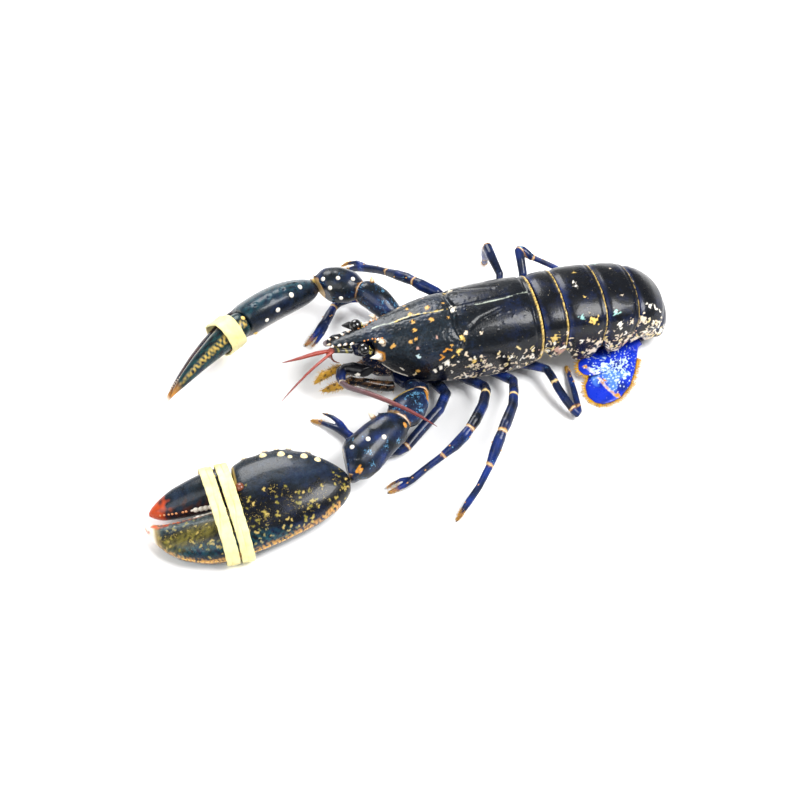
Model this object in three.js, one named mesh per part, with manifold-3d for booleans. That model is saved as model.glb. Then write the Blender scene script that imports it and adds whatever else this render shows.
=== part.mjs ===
// A life-size European lobster, lying as a live one lies on a slab: claws forward, tail curled under.
// Units are millimetres, +Z is up, +X points to the head and +Y to the animal's left.
// While it is modelled, X = 0 is the carapace's rear edge, Y = 0 its midline and Z = 0 the floor.
// Every shell plate, limb joint, feeler and rubber band is a closed solid of its own.

import * as THREE from "three";
import { mergeVertices } from "three/addons/utils/BufferGeometryUtils.js";
import Module from "manifold-3d";

const wasm = await Module();
wasm.setup();

const GAP = 0.3; // clearance between touching pieces
const SMOOTHING = 0.07; // facets flatter than this are one
const RAD = Math.PI / 180;

// Driving dimensions of the animal

const CARAPACE_LENGTH = 105; // eye socket to rear edge
const ROSTRUM_TIP_X = 132.5;
const BODY_HALF_WIDTH = 28;
const BACK_HEIGHT = 58;
const STERNUM_HALF_WIDTH = 15;
const STERNUM_TOP = 13.4;
const CRUSHER_LENGTH = 124;
const CUTTER_LENGTH = 122;

// Colours and finishes

const finish = (color, roughness) => new THREE.MeshStandardMaterial({ color, roughness, metalness: 0 });
const shellBlack = finish(0x12161f, 0.35);
const shellBlue = finish(0x16306e, 0.35);
const clawShell = finish(0x1d3138, 0.4);
const fanBlue = finish(0x1530b4, 0.4);
const feelerRed = finish(0x8e2b1c, 0.5);
const eyeBlack = finish(0x08090c, 0.1);
const bandRubber = finish(0xf1e5a0, 0.7);
const mouthYellow = finish(0xb98a35, 0.6);

// Vectors and solids

const vec = (x, y, z) => new THREE.Vector3(x, y, z);
const UP = vec(0, 0, 1);
const mix = (a, b, t) => a + (b - a) * t;

function geometryOf(points, triangles) {
  const flat = new Float32Array(points.flatMap((p) => [p.x, p.y, p.z]));
  return new THREE.BufferGeometry()
    .setAttribute("position", new THREE.BufferAttribute(flat, 3))
    .setIndex(triangles.flat());
}

function solidOf(geometry) {
  const bare = geometry.clone();
  bare.deleteAttribute("normal");
  bare.deleteAttribute("uv");
  const merged = mergeVertices(bare, 1e-4);
  return new wasm.Manifold(
    new wasm.Mesh({
      numProp: 3,
      vertProperties: new Float32Array(merged.attributes.position.array),
      triVerts: new Uint32Array(merged.index.array),
    }),
  );
}

// A Boolean can leave loose scraps: a node keeps its largest closed surface.
function largest(solid) {
  const pieces = solid.decompose();
  return pieces.sort((a, b) => b.volume() - a.volume())[0];
}

const fuse = (solids) => largest(solids.reduce((sum, next) => sum.add(next)));

function geometryFrom(solid) {
  const mesh = solid.getMesh();
  return new THREE.BufferGeometry()
    .setAttribute("position", new THREE.BufferAttribute(new Float32Array(mesh.vertProperties), 3))
    .setIndex(new THREE.BufferAttribute(new Uint32Array(mesh.triVerts), 1));
}

// Joins rings of points into one closed skin, with a flat cap at each end.
function loft(rings) {
  const n = rings[0].length;
  const points = rings.flat();
  const triangles = [];
  for (let k = 0; k + 1 < rings.length; k++) {
    for (let i = 0; i < n; i++) {
      const j = (i + 1) % n;
      const [a, b, c, d] = [k * n + i, k * n + j, (k + 1) * n + j, (k + 1) * n + i];
      triangles.push([a, b, c], [a, c, d]);
    }
  }
  const capOf = (start, flip) => {
    const ring = points.slice(start, start + n);
    const centre = ring.reduce((sum, p) => sum.add(p), vec(0, 0, 0)).divideScalar(n);
    points.push(centre);
    const middle = points.length - 1;
    for (let i = 0; i < n; i++) {
      const j = (i + 1) % n;
      triangles.push(flip ? [middle, start + j, start + i] : [middle, start + i, start + j]);
    }
  };
  capOf(0, true);
  capOf((rings.length - 1) * n, false);
  const solid = solidOf(geometryOf(points, triangles));
  return solid.volume() > 0 ? solid : solidOf(geometryOf(points, triangles.map(([a, b, c]) => [a, c, b])));
}

// A limb piece: a tapering tube of oval section along a smooth path.
// Stations are [x, y, z, half width, half height]; "up" sets which way the height points.
class Limb {
  // "before" and "after" add that much length at an end that a joint's plane will cut off
  constructor(stations, { up = UP, steps = 3, sides = 12, before = 0, after = 0 } = {}) {
    stations = [...stations];
    const reach = (from, to, by) => {
      const [a, b] = [vec(...from), vec(...to)];
      const end = b.clone().addScaledVector(b.clone().sub(a).normalize(), by);
      return [end.x, end.y, end.z, to[3], to[4]];
    };
    if (before) stations.unshift(reach(stations[1], stations[0], before));
    if (after) stations.push(reach(stations.at(-2), stations.at(-1), after));
    this.stations = stations;
    this.curve = new THREE.CatmullRomCurve3(stations.map(([x, y, z]) => vec(x, y, z)), false, "centripetal");
    this.up = up;
    this.count = (stations.length - 1) * steps;
    this.sides = sides;
  }

  frame(t) {
    const spans = this.stations.length - 1;
    const at = Math.min(Math.floor(t * spans), spans - 1);
    const u = t * spans - at;
    const ease = u * u * (3 - 2 * u);
    const [a, b] = [this.stations[at], this.stations[at + 1]];
    const centre = this.curve.getPoint(t);
    const along = this.curve.getTangent(t);
    const side = vec(0, 0, 0).crossVectors(along, this.up).normalize();
    const top = vec(0, 0, 0).crossVectors(side, along).normalize();
    return { centre, along, side, top, width: mix(a[3], b[3], ease), height: mix(a[4], b[4], ease) };
  }

  // The surface point at share t of the length and an angle from the top, lifted off by "lift".
  point(t, degrees, lift = 0) {
    const { centre, side, top, width, height } = this.frame(t);
    const [s, c] = [Math.sin(degrees * RAD), Math.cos(degrees * RAD)];
    return centre.clone().addScaledVector(side, s * (width + lift)).addScaledVector(top, c * (height + lift));
  }

  // A spike or knob on the surface: its root is sunk in, and it leans by "lean" along the limb.
  spike(t, degrees, length, radius, lean = 0, sides = 5) {
    const root = this.point(t, degrees, -radius);
    const out = this.point(t, degrees, length).sub(this.point(t, degrees)).normalize();
    const direction = out.addScaledVector(this.frame(t).along, lean).normalize();
    return cone(root, direction, length + radius, radius, sides);
  }

  solid() {
    const rings = [];
    for (let k = 0; k <= this.count; k++) {
      const ring = [];
      for (let i = 0; i < this.sides; i++) ring.push(this.point(k / this.count, (360 * i) / this.sides));
      rings.push(ring);
    }
    return loft(rings);
  }
}

function cone(root, direction, length, radius, sides = 5, bluntness = 0.12) {
  const shape = new THREE.CylinderGeometry(radius * bluntness, radius, length, sides, 1);
  shape.translate(0, length / 2, 0);
  shape.applyQuaternion(new THREE.Quaternion().setFromUnitVectors(vec(0, 1, 0), direction));
  shape.translate(root.x, root.y, root.z);
  return solidOf(shape);
}

// A rounded tubercle, half sunk in what it grows from.
function knob(centre, radius, stretch = 1) {
  const shape = new THREE.SphereGeometry(radius, 7, 5);
  shape.scale(stretch, 1, 1);
  shape.translate(centre.x, centre.y, centre.z);
  return solidOf(shape);
}

const mirrorY = ([x, y, z, ...rest]) => [x, -y, z, ...rest];
const root = new THREE.Group();

const pieces = new Map();
const addPiece = (name, solid, material) => pieces.set(name, { solid, material });

// Cuts two neighbours at one plane, so that they meet face to face with the gap between them.
function part(first, second, at, direction) {
  const normal = direction.clone().normalize();
  const level = normal.dot(at);
  const [a, b] = [pieces.get(first), pieces.get(second)];
  if (a) a.solid = a.solid.trimByPlane(normal.clone().negate().toArray(), -level + GAP / 2);
  if (b) b.solid = b.solid.trimByPlane(normal.toArray(), level + GAP / 2);
}

// Cuts a piece clear of a neighbour that it lies against.
function clear(name, neighbour) {
  const piece = pieces.get(name);
  piece.solid = largest(piece.solid.subtract(swell(pieces.get(neighbour).solid)));
}

// A solid grown by a little more than the gap on every side.
function swell(solid) {
  const g = GAP * 1.6;
  const shifts = [
    [g, 0, 0],
    [-g, 0, 0],
    [0, g, 0],
    [0, -g, 0],
    [0, 0, g],
    [0, 0, -g],
  ];
  return shifts.map((shift) => solid.translate(shift)).reduce((sum, next) => sum.add(next), solid);
}

// The plane of the joint between the end of one run of stations and the start of the next
function partBetween(first, second, firstStations, secondStations) {
  const [a, b] = [vec(...firstStations.at(-1)), vec(...secondStations[0])];
  const into = a.clone().sub(vec(...firstStations.at(-2))).normalize();
  const outOf = vec(...secondStations[1]).sub(b).normalize();
  part(first, second, a.add(b).multiplyScalar(0.5), into.add(outOf));
}

// Carapace: one shell from the rear edge to the tip of the rostrum

// [x, half width, top, lower edge]
const CARAPACE_STATIONS = [
  [0, BODY_HALF_WIDTH - 2.2, BACK_HEIGHT - 1.6, 20],
  [2.2, BODY_HALF_WIDTH - 1.4, BACK_HEIGHT - 1.2, 18.6],
  [3.2, BODY_HALF_WIDTH - 1.8, BACK_HEIGHT - 1.8, 18.2],
  [6, BODY_HALF_WIDTH - 0.8, BACK_HEIGHT - 0.6, 17],
  [14, BODY_HALF_WIDTH - 0.1, BACK_HEIGHT, 15.6],
  [24, BODY_HALF_WIDTH, BACK_HEIGHT + 0.2, 15],
  [34, BODY_HALF_WIDTH, BACK_HEIGHT, 15],
  [43, BODY_HALF_WIDTH - 0.2, BACK_HEIGHT - 0.5, 15.2],
  [50, BODY_HALF_WIDTH - 0.5, BACK_HEIGHT - 1.2, 15.6],
  [53, BODY_HALF_WIDTH - 1.3, BACK_HEIGHT - 2.6, 16],
  [56, BODY_HALF_WIDTH - 1.0, BACK_HEIGHT - 1.8, 16.2],
  [63, BODY_HALF_WIDTH - 1.6, BACK_HEIGHT - 1.9, 16.6],
  [72, BODY_HALF_WIDTH - 3.4, BACK_HEIGHT - 2.6, 17.4],
  [80, BODY_HALF_WIDTH - 5.8, BACK_HEIGHT - 3.6, 18.8],
  [88, BODY_HALF_WIDTH - 9, BACK_HEIGHT - 4.8, 21.5],
  [95, BODY_HALF_WIDTH - 12, BACK_HEIGHT - 6, 25.5],
  [100, BODY_HALF_WIDTH - 14.2, BACK_HEIGHT - 6.8, 30],
  [CARAPACE_LENGTH - 1, BODY_HALF_WIDTH - 16.4, BACK_HEIGHT - 7.6, 35],
];
const CARAPACE_SIDES = 26;
const LOWER_EDGE_ANGLE = 118; // from the top, where the flank ends and the flat underside starts

function carapacePoint([x, width, top, low], degrees) {
  const middle = mix(low, top, 0.48);
  const a = Math.min(Math.abs(degrees), LOWER_EDGE_ANGLE);
  const side = Math.sign(degrees) || 1;
  const bulge = Math.pow(Math.abs(Math.sin(a * RAD)), 0.86);
  const y = side * width * bulge;
  const drop = (middle - low) / Math.cos((180 - LOWER_EDGE_ANGLE) * RAD);
  const z = a <= 90 ? middle + (top - middle) * Math.cos(a * RAD) : middle + drop * Math.cos(a * RAD);
  return vec(x, y, z);
}

function carapaceRing(station) {
  const ring = [];
  const arc = CARAPACE_SIDES - 4;
  for (let i = 0; i <= arc; i++) ring.push(carapacePoint(station, mix(-LOWER_EDGE_ANGLE, LOWER_EDGE_ANGLE, i / arc)));
  for (const share of [0.5, 0, -0.5]) {
    ring.push(vec(station[0], ring[arc].y * share, station[3] + 1));
  }
  return ring;
}

// [x, half width, top, thickness], a narrow blade with raised edges and a spine row on each side
const ROSTRUM_STATIONS = [
  [84, 9.5, 53.2, 9],
  [96, 8.6, 51.6, 8],
  [104, 7.2, 50.3, 6.4],
  [112, 5.6, 49, 5],
  [120, 4.3, 47.6, 4.2],
  [127, 2.9, 46.4, 3.2],
  [ROSTRUM_TIP_X - 1.5, 1.3, 45.6, 2],
  [ROSTRUM_TIP_X, 0.5, 45.4, 1],
];

function rostrumRing([x, width, top, thick]) {
  const groove = Math.min(0.9, width * 0.16);
  return [
    vec(x, -width, top),
    vec(x, -width * 0.55, top - groove),
    vec(x, 0, top + groove * 0.3),
    vec(x, width * 0.55, top - groove),
    vec(x, width, top),
    vec(x, width * 0.8, top - thick * 0.55),
    vec(x, 0, top - thick),
    vec(x, -width * 0.8, top - thick * 0.55),
  ];
}

const ROSTRUM_SPINES = [
  { x: 101.5, length: 2.4 },
  { x: 116.4, length: 3.2 },
  { x: 120.4, length: 3 },
  { x: 124.4, length: 2.8 },
  { x: 128.2, length: 2.4 },
];

function rostrumWidthAt(x) {
  const k = ROSTRUM_STATIONS.findIndex((s) => s[0] > x);
  const [a, b] = [ROSTRUM_STATIONS[k - 1], ROSTRUM_STATIONS[k]];
  const u = (x - a[0]) / (b[0] - a[0]);
  return { width: mix(a[1], b[1], u), top: mix(a[2], b[2], u) };
}

function carapaceSolid() {
  const pieces = [loft(CARAPACE_STATIONS.map(carapaceRing)), loft(ROSTRUM_STATIONS.map(rostrumRing))];
  for (const side of [-1, 1]) {
    for (const { x, length } of ROSTRUM_SPINES) {
      const { width, top } = rostrumWidthAt(x);
      pieces.push(cone(vec(x - 1, side * (width - 1.2), top - 1), vec(0.75, side * 0.5, 0.35).normalize(), length + 1.4, 1.1));
    }
    // the spine behind the eye, and the one on the front edge beside the feeler
    pieces.push(cone(vec(98, side * 10.6, 49), vec(0.85, side * 0.2, 0.45).normalize(), 5, 1.5));
    pieces.push(cone(vec(98.6, side * 13, 39.6), vec(0.97, side * 0.08, 0).normalize(), 8.4, 2.8, 7));
  }
  return fuse(pieces);
}

addPiece("carapace", carapaceSolid(), shellBlack);

// Head under the rostrum, and the sternum that the legs grow from

const HEAD = new Limb(
  [
    [CARAPACE_LENGTH - 0.7, 0, 38.2, 9.5, 5],
    [108, 0, 37.6, 9, 5],
    [112, 0, 37, 7, 4],
    [116, 0, 37, 4.5, 3],
  ],
  { steps: 2, sides: 10, before: 2 },
);
addPiece("head", HEAD.solid(), shellBlack);

const STERNUM_FRONT = 92;
const sternumRing = (x, width, low) => [
  vec(x, -width, STERNUM_TOP),
  vec(x, -width, low + 3),
  vec(x, -width * 0.45, low),
  vec(x, 0, low + 1),
  vec(x, width * 0.45, low),
  vec(x, width, low + 3),
  vec(x, width, STERNUM_TOP),
  vec(x, 0, STERNUM_TOP + 0.6),
];
addPiece(
  "sternum",
  loft([
    sternumRing(1, STERNUM_HALF_WIDTH - 2, 5.4),
    sternumRing(5, STERNUM_HALF_WIDTH, 4.4),
    sternumRing(40, STERNUM_HALF_WIDTH, 3.6),
    sternumRing(70, STERNUM_HALF_WIDTH, 4),
    sternumRing(88, STERNUM_HALF_WIDTH, 4.6),
    sternumRing(STERNUM_FRONT, STERNUM_HALF_WIDTH - 5, 6),
  ]),
  shellBlue,
);

// The block of jaws in front of the sternum
const JAWS = new Limb(
  [
    [STERNUM_FRONT + 0.6, 0, 15.4, 7, 8],
    [98, 0, 18, 7.2, 9],
    [103, 0, 22.6, 6.4, 7.6],
    [107, 0, 27.6, 5, 4],
  ],
  { steps: 2, sides: 10, before: 2 },
);
addPiece("jaws", JAWS.solid(), mouthYellow);
part("sternum", "jaws", vec(STERNUM_FRONT + GAP / 2, 0, 10), vec(1, 0, 0));
part(null, "head", vec(CARAPACE_LENGTH - 1 + GAP / 2, 0, 38), vec(1, 0, 0));
clear("jaws", "carapace");

// Abdomen: six ring plates that curl under, each a tile over the next

// length along the middle, bend in degrees, half width, height over and depth under the middle, pleuron depth
const ABDOMEN_SEGMENTS = [
  { length: 15.5, bend: 2, width: 25.4, over: 14, under: 9, flap: 24 },
  { length: 25, bend: 5, width: 26.6, over: 14.5, under: 9.5, flap: 31 },
  { length: 21, bend: 10, width: 26.4, over: 14.4, under: 9, flap: 27 },
  { length: 17.5, bend: 40, width: 25.2, over: 14, under: 8.2, flap: 20 },
  { length: 13, bend: 52, width: 22, over: 12, under: 7, flap: 13 },
  { length: 10.5, bend: 42, width: 18.6, over: 9, under: 4.4, flap: 6.6 },
];
const TAIL_END = { width: 13, over: 5, under: 3.2 };
const ABDOMEN_START = { x: -GAP, z: 42.6 };
const FRONT_STEP = 1.3; // how much lower a plate's front edge lies than the rear edge before it

// The front plane of each plate, walked along the curl
const joints = [{ ...ABDOMEN_START, angle: 0 }];
for (const { length, bend } of ABDOMEN_SEGMENTS) {
  const { x, z, angle } = joints.at(-1);
  const middle = (angle + bend / 2) * RAD;
  joints.push({ x: x - length * Math.cos(middle), z: z - length * Math.sin(middle), angle: angle + bend });
}

const SHARE_ALONG = [0, 0.14, 0.3, 0.52, 0.76, 0.93, 1];
const FLAP_ALONG = [0.45, 0.75, 0.95, 1, 0.95, 0.75, 0.45];

function plateRing(segment, k, share, flapShare, shrink) {
  const [from, to] = [joints[k], joints[k + 1]];
  const angle = mix(from.angle, to.angle, share) * RAD;
  const inset = share === 0 ? GAP / 2 : share === 1 ? -GAP / 2 : 0;
  const bulge = Math.sin(Math.PI * share) * segment.length * segment.bend * RAD * 0.12;
  const along = vec(-Math.cos(angle), 0, -Math.sin(angle));
  const lift = vec(-Math.sin(angle), 0, Math.cos(angle));
  const centre = vec(mix(from.x, to.x, share), 0, mix(from.z, to.z, share))
    .addScaledVector(along, inset)
    .addScaledVector(lift, bulge);
  const next = ABDOMEN_SEGMENTS[k + 1] ?? TAIL_END;
  const ease = k + 1 < ABDOMEN_SEGMENTS.length ? share * 0.5 : share;
  const width = mix(segment.width, next.width, ease) - shrink;
  const over = mix(segment.over, next.over, ease) - shrink;
  const under = mix(segment.under, next.under, share);
  const flap = mix(under + 0.5, segment.flap, flapShare);
  const half = [];
  for (let a = 0; a <= 90; a += 15) half.push([width * Math.sin(a * RAD), over * Math.cos(a * RAD)]);
  half.push([width * 1.0, -flap * 0.35], [width * 0.985, -flap * 0.72], [width * 0.93, -flap]);
  half.push([width * 0.84, -mix(under, flap, 0.55)], [width * 0.74, -under], [width * 0.36, -under - 0.6]);
  const outline = [
    ...half.map(([y, h]) => [y, h]),
    [0, -under - 0.6],
    ...half.slice(1).reverse().map(([y, h]) => [-y, h]),
  ];
  return outline.map(([y, h]) => centre.clone().add(vec(0, y, 0)).addScaledVector(lift, h));
}

// Swimmerets: a pair of leaf blades under each of the plates 2 to 5
function swimmerets(k) {
  const [from, to] = [joints[k], joints[k + 1]];
  const angle = mix(from.angle, to.angle, 0.5) * RAD;
  const down = vec(Math.sin(angle), 0, -Math.cos(angle));
  const along = vec(-Math.cos(angle), 0, -Math.sin(angle));
  const middle = vec(mix(from.x, to.x, 0.5), 0, mix(from.z, to.z, 0.5));
  const reach = [0, 13, 12, 9, 0, 0][k];
  return [-1, 1].map((side) => {
    const at = (depth, back) =>
      middle.clone().addScaledVector(down, depth).addScaledVector(along, back).add(vec(0, side * 11, 0)).toArray();
    const { under } = ABDOMEN_SEGMENTS[k];
    const blade = new Limb(
      [
        [...at(under - 3, 0), 1.6, 1],
        [...at(under + reach * 0.35, 0.5), 2.6, 0.8],
        [...at(under + reach * 0.75, 1.5), 3.4, 0.7],
        [...at(under + reach, 2.5), 1.2, 0.4],
      ],
      { up: along, steps: 1, sides: 6 },
    );
    return blade.solid();
  });
}

ABDOMEN_SEGMENTS.forEach((segment, k) => {
  const rings = SHARE_ALONG.map((share, i) =>
    plateRing(segment, k, share, FLAP_ALONG[i], share < 0.2 ? FRONT_STEP * (1 - share * 5) : share === 1 ? 0.5 : 0),
  );
  const pieces = [loft(rings)];
  if (k > 0 && k < 4) pieces.push(...swimmerets(k));
  addPiece(`abdomen_${k + 1}`, fuse(pieces), shellBlack);
});

// Tail fan: the telson between two pairs of blades, flat on the floor

const FAN_ROOT = joints.at(-1);
const FAN_PLANE = vec(-Math.cos(FAN_ROOT.angle * RAD), 0, -Math.sin(FAN_ROOT.angle * RAD));
const TELSON_HEIGHT = 1.9;
const telson = new Limb(
  [
    [FAN_ROOT.x - 4, 0, TELSON_HEIGHT, 8.6, 2.2],
    [FAN_ROOT.x + 2, 0, TELSON_HEIGHT, 9.4, 2.2],
    [FAN_ROOT.x + 10, 0, TELSON_HEIGHT, 11.6, 2],
    [FAN_ROOT.x + 22, 0, TELSON_HEIGHT - 0.2, 11.6, 1.9],
    [FAN_ROOT.x + 31, 0, TELSON_HEIGHT - 0.5, 10, 1.6],
    [FAN_ROOT.x + 36, 0, TELSON_HEIGHT - 0.8, 5.5, 1.2],
  ],
  { sides: 12, steps: 2 },
);
addPiece("telson", telson.solid(), fanBlue);
part("abdomen_6", "telson", vec(FAN_ROOT.x, 0, FAN_ROOT.z), FAN_PLANE);

// [x, y, z, half width, half thickness] from the root; the near blade swings out, the far one lies closer in
const FAN_BLADES = {
  left: {
    outer: [
      [-66.5, 13.2, 3, 3, 2],
      [-60, 19.6, 2.4, 6.4, 2],
      [-51, 27.6, 1.8, 11.4, 1.8],
      [-42, 36, 1.4, 13.8, 1.6],
      [-34.6, 44.4, 1.2, 12.6, 1.4],
      [-31, 50, 1.1, 8.6, 1.1],
      [-29.4, 53.4, 1, 3, 0.7],
    ],
    inner: [
      [-66, 12.9, 6, 2.4, 1.2],
      [-57, 16.6, 6.3, 6, 1.2],
      [-46, 20.6, 6.3, 9.4, 1.2],
      [-35, 24.8, 6, 9.8, 1.1],
      [-28, 27.6, 5.4, 7.4, 0.9],
      [-24.6, 29, 5.2, 2.6, 0.7],
    ],
  },
  right: {
    outer: [
      [-66.5, -13.2, 3, 3, 2],
      [-59, -18.5, 2.4, 7, 2],
      [-48, -25, 1.8, 12.5, 1.8],
      [-37, -31, 1.4, 15.5, 1.6],
      [-26, -36.5, 1.2, 14, 1.4],
      [-20, -39.5, 1.1, 8.5, 1.1],
      [-18, -40.4, 1, 3, 0.7],
    ],
    inner: [
      [-66, -12.9, 6, 2.4, 1.2],
      [-57, -16, 6.4, 6.5, 1.2],
      [-45, -18.5, 6.4, 9.5, 1.2],
      [-33, -20, 6, 9.5, 1.1],
      [-26, -21, 5.4, 6.5, 0.9],
      [-23, -21.4, 5.2, 2.4, 0.7],
    ],
  },
};

for (const [side, blades] of Object.entries(FAN_BLADES)) {
  const outer = new Limb(blades.outer, { sides: 12, steps: 1 });
  const inner = new Limb(blades.inner, { sides: 10, steps: 1 });
  const [x, y] = blades.outer[0];
  const stem = new Limb(
    [
      [x - 6.5, y - Math.sign(y) * 0.6, 3.6, 2.8, 2.6],
      [x - 1.5, y - Math.sign(y) * 0.2, 4.2, 3.2, 3],
      [x + 4, y + Math.sign(y) * 3.2, 4.4, 3.4, 2.8],
    ],
    { sides: 8, steps: 1 },
  );
  addPiece(`tail_fan_${side}`, fuse([outer.solid(), inner.solid(), stem.solid()]), fanBlue);
  part(null, `tail_fan_${side}`, vec(FAN_ROOT.x, 0, FAN_ROOT.z), FAN_PLANE);
  clear(`tail_fan_${side}`, "telson");
}

// Eyes on short stalks beside the rostrum

function eye(side) {
  const ball = new THREE.SphereGeometry(3.9, 12, 8);
  ball.translate(111.2, side * 10.2, 46.4);
  const stalk = new Limb(
    [
      [105.8, side * 9.8, 42.6, 1.6, 1.6],
      [108, side * 10, 43.8, 2, 2],
      [110.6, side * 10.2, 45.6, 2.6, 2.6],
    ],
    { steps: 1, sides: 8 },
  );
  return fuse([solidOf(ball), stalk.solid()]);
}

// Feelers

const EYE_SIDES = { left: 1, right: -1 };
for (const [name, side] of Object.entries(EYE_SIDES)) addPiece(`eye_${name}`, eye(side), eyeBlack);

// Small feelers: a short three-jointed base with two whips
const SMALL_FEELERS = {
  left: {
    base: [
      [116.6, 2.3, 38, 1.9, 1.9],
      [121, 2.2, 39, 1.5, 1.5],
      [125, 1.6, 39.8, 1.7, 1.7],
      [129.6, 1, 40.3, 1.5, 1.5],
    ],
    whips: [
      [
        [128.4, 0.8, 40.2, 1.2, 1.2],
        [139.2, 1, 40.6, 1.5, 1.5],
        [149.8, 1.8, 40.1, 1.1, 1.1],
        [160.6, 1.6, 39, 0.3, 0.3],
      ],
      [
        [128.4, 1.6, 40, 1, 1],
        [142, 9.4, 38.6, 0.9, 0.9],
        [155, 16.8, 34.4, 0.65, 0.65],
        [166.6, 23.8, 29.6, 0.28, 0.28],
      ],
    ],
  },
  right: {
    base: [
      [116.6, -2.3, 37.6, 1.9, 1.9],
      [121, -3, 37.8, 1.5, 1.5],
      [125, -4, 37.4, 1.7, 1.7],
      [128, -5, 36, 1.5, 1.5],
    ],
    whips: [
      [
        [127.2, -4.9, 36.4, 1.2, 1.2],
        [130, -7.4, 30, 1.3, 1.3],
        [129, -11, 22, 1, 1],
        [126, -15.4, 14, 0.3, 0.3],
      ],
      [
        [127.2, -4.4, 36, 1, 1],
        [128.6, -5, 29, 0.9, 0.9],
        [126.4, -7, 21, 0.65, 0.65],
        [122, -10, 14.6, 0.28, 0.28],
      ],
    ],
  },
};

for (const [side, { base, whips }] of Object.entries(SMALL_FEELERS)) {
  const pieces = [base, ...whips].map((stations) => new Limb(stations, { sides: 7, steps: 2 }).solid());
  addPiece(`antennule_${side}`, fuse(pieces), feelerRed);
}

// Long feelers: a stout base with a leaf-shaped scale, and a whip that ends short, as seen
const LONG_FEELERS = {
  left: {
    base: [
      [105, 16.4, 28.6, 3.2, 3.2],
      [110, 12.8, 28.2, 4, 3.8],
      [114.4, 10, 28, 3.2, 3.2],
      [118.4, 7.8, 28, 3.8, 3.6],
      [122.4, 6.6, 28, 3.2, 3.2],
      [125.4, 8.4, 28, 3.4, 3.4],
      [126.8, 12.4, 27.8, 3.3, 3.3],
      [127, 16, 27.6, 2.5, 2.5],
    ],
    scale: [
      [105.6, 18, 30, 1.4, 1.4],
      [110, 16.8, 31.4, 2.8, 1.3],
      [114.6, 15.2, 32, 2.4, 1.1],
      [119, 13.6, 32.2, 0.7, 0.5],
    ],
    whip: [
      [127, 17, 27.6, 1.9, 1.9],
      [124.6, 22.4, 29, 1.9, 1.9],
      [114, 35, 33.6, 1.7, 1.7],
      [101, 50.6, 37.2, 1.4, 1.4],
      [91, 62.6, 38.2, 1.05, 1.05],
      [82.4, 74, 38.2, 0.3, 0.3],
    ],
  },
  right: {
    base: [
      [104.6, -12.6, 33, 3.6, 3.6],
      [110, -13.6, 33.4, 4.4, 4.2],
      [113.5, -13.4, 34, 3.2, 3.2],
      [117, -12.8, 34.6, 4, 3.8],
      [120, -12.2, 35, 3, 3],
      [125, -11.4, 35.2, 3.8, 3.6],
      [128, -11.4, 34.4, 2.4, 2.4],
    ],
    scale: [
      [105.6, -16.4, 35, 1.6, 1.4],
      [109.4, -17.6, 37, 3.8, 1.5],
      [113.6, -18.4, 38.4, 3.4, 1.2],
      [118.4, -18.6, 39.4, 0.7, 0.5],
    ],
    whip: [
      [128.6, -11.7, 34, 1.9, 1.9],
      [129.6, -14.6, 30.6, 1.8, 1.8],
      [128, -21, 22, 1.5, 1.5],
      [125, -28, 13, 1.1, 1.1],
      [122, -34.6, 5.4, 0.3, 0.3],
    ],
  },
};

for (const [side, { base, scale, whip }] of Object.entries(LONG_FEELERS)) {
  const stem = new Limb(base, { sides: 10, steps: 1, after: 2 }).solid();
  const leaf = new Limb(scale, { sides: 8, steps: 1 }).solid();
  addPiece(`antenna_base_${side}`, fuse([stem, leaf]), shellBlue);
  addPiece(`antenna_${side}`, new Limb(whip, { sides: 8, steps: 3, before: 2 }).solid(), feelerRed);
  partBetween(`antenna_base_${side}`, `antenna_${side}`, base, whip);
}

// Third maxillipeds: the outer jaw legs, with bristly yellow tips
const JAW_LEGS = {
  left: [
    [93, 12.6, 9, 3, 3.2],
    [96.6, 12.2, 9.4, 3.4, 3.6],
    [104, 10.8, 11.2, 3.4, 3.8],
    [111, 8.8, 13.4, 3, 3.6],
    [114.4, 8, 14.2, 2.5, 2.7],
    [119, 7, 15.2, 3, 3.2],
    [127.5, 7.8, 14.6, 2.6, 2.8],
    [132.4, 7.8, 13.4, 2.2, 2.4],
    [137.8, 7.2, 11.4, 0.8, 0.8],
  ],
  right: [
    [93, -11.4, 11, 3, 3.4],
    [104, -9.4, 10.6, 3.4, 4],
    [114, -4.6, 12, 3.4, 4],
    [117, -3.6, 13.4, 2.6, 3],
    [124, -2.2, 17.6, 3.2, 3.4],
    [128, -1.4, 18.6, 2.4, 2.6],
    [135, -0.2, 17.4, 2.6, 2.8],
    [141, 1, 13, 0.8, 0.8],
  ],
};
for (const [side, stations] of Object.entries(JAW_LEGS)) {
  addPiece(`maxilliped_${side}`, new Limb(stations, { sides: 9, steps: 1 }).solid(), mouthYellow);
}

// Claw arms, from the sternum to the wrist

const ARM_SPINES = [
  { t: 0.9, degrees: -35, length: 3.4, radius: 1.5 },
  { t: 0.9, degrees: 35, length: 3.4, radius: 1.5 },
  { t: 0.62, degrees: -58, length: 2.8, radius: 1.3 },
];
const WRIST_SPINES = [
  { t: 0.3, degrees: -52, length: 3, radius: 1.7 },
  { t: 0.55, degrees: -56, length: 3.4, radius: 1.8 },
  { t: 0.8, degrees: -52, length: 3, radius: 1.7 },
  { t: 0.45, degrees: -8, length: 2.4, radius: 1.5 },
  { t: 0.72, degrees: 12, length: 2.4, radius: 1.5 },
  { t: 0.86, degrees: 62, length: 2.6, radius: 1.5 },
];

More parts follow.
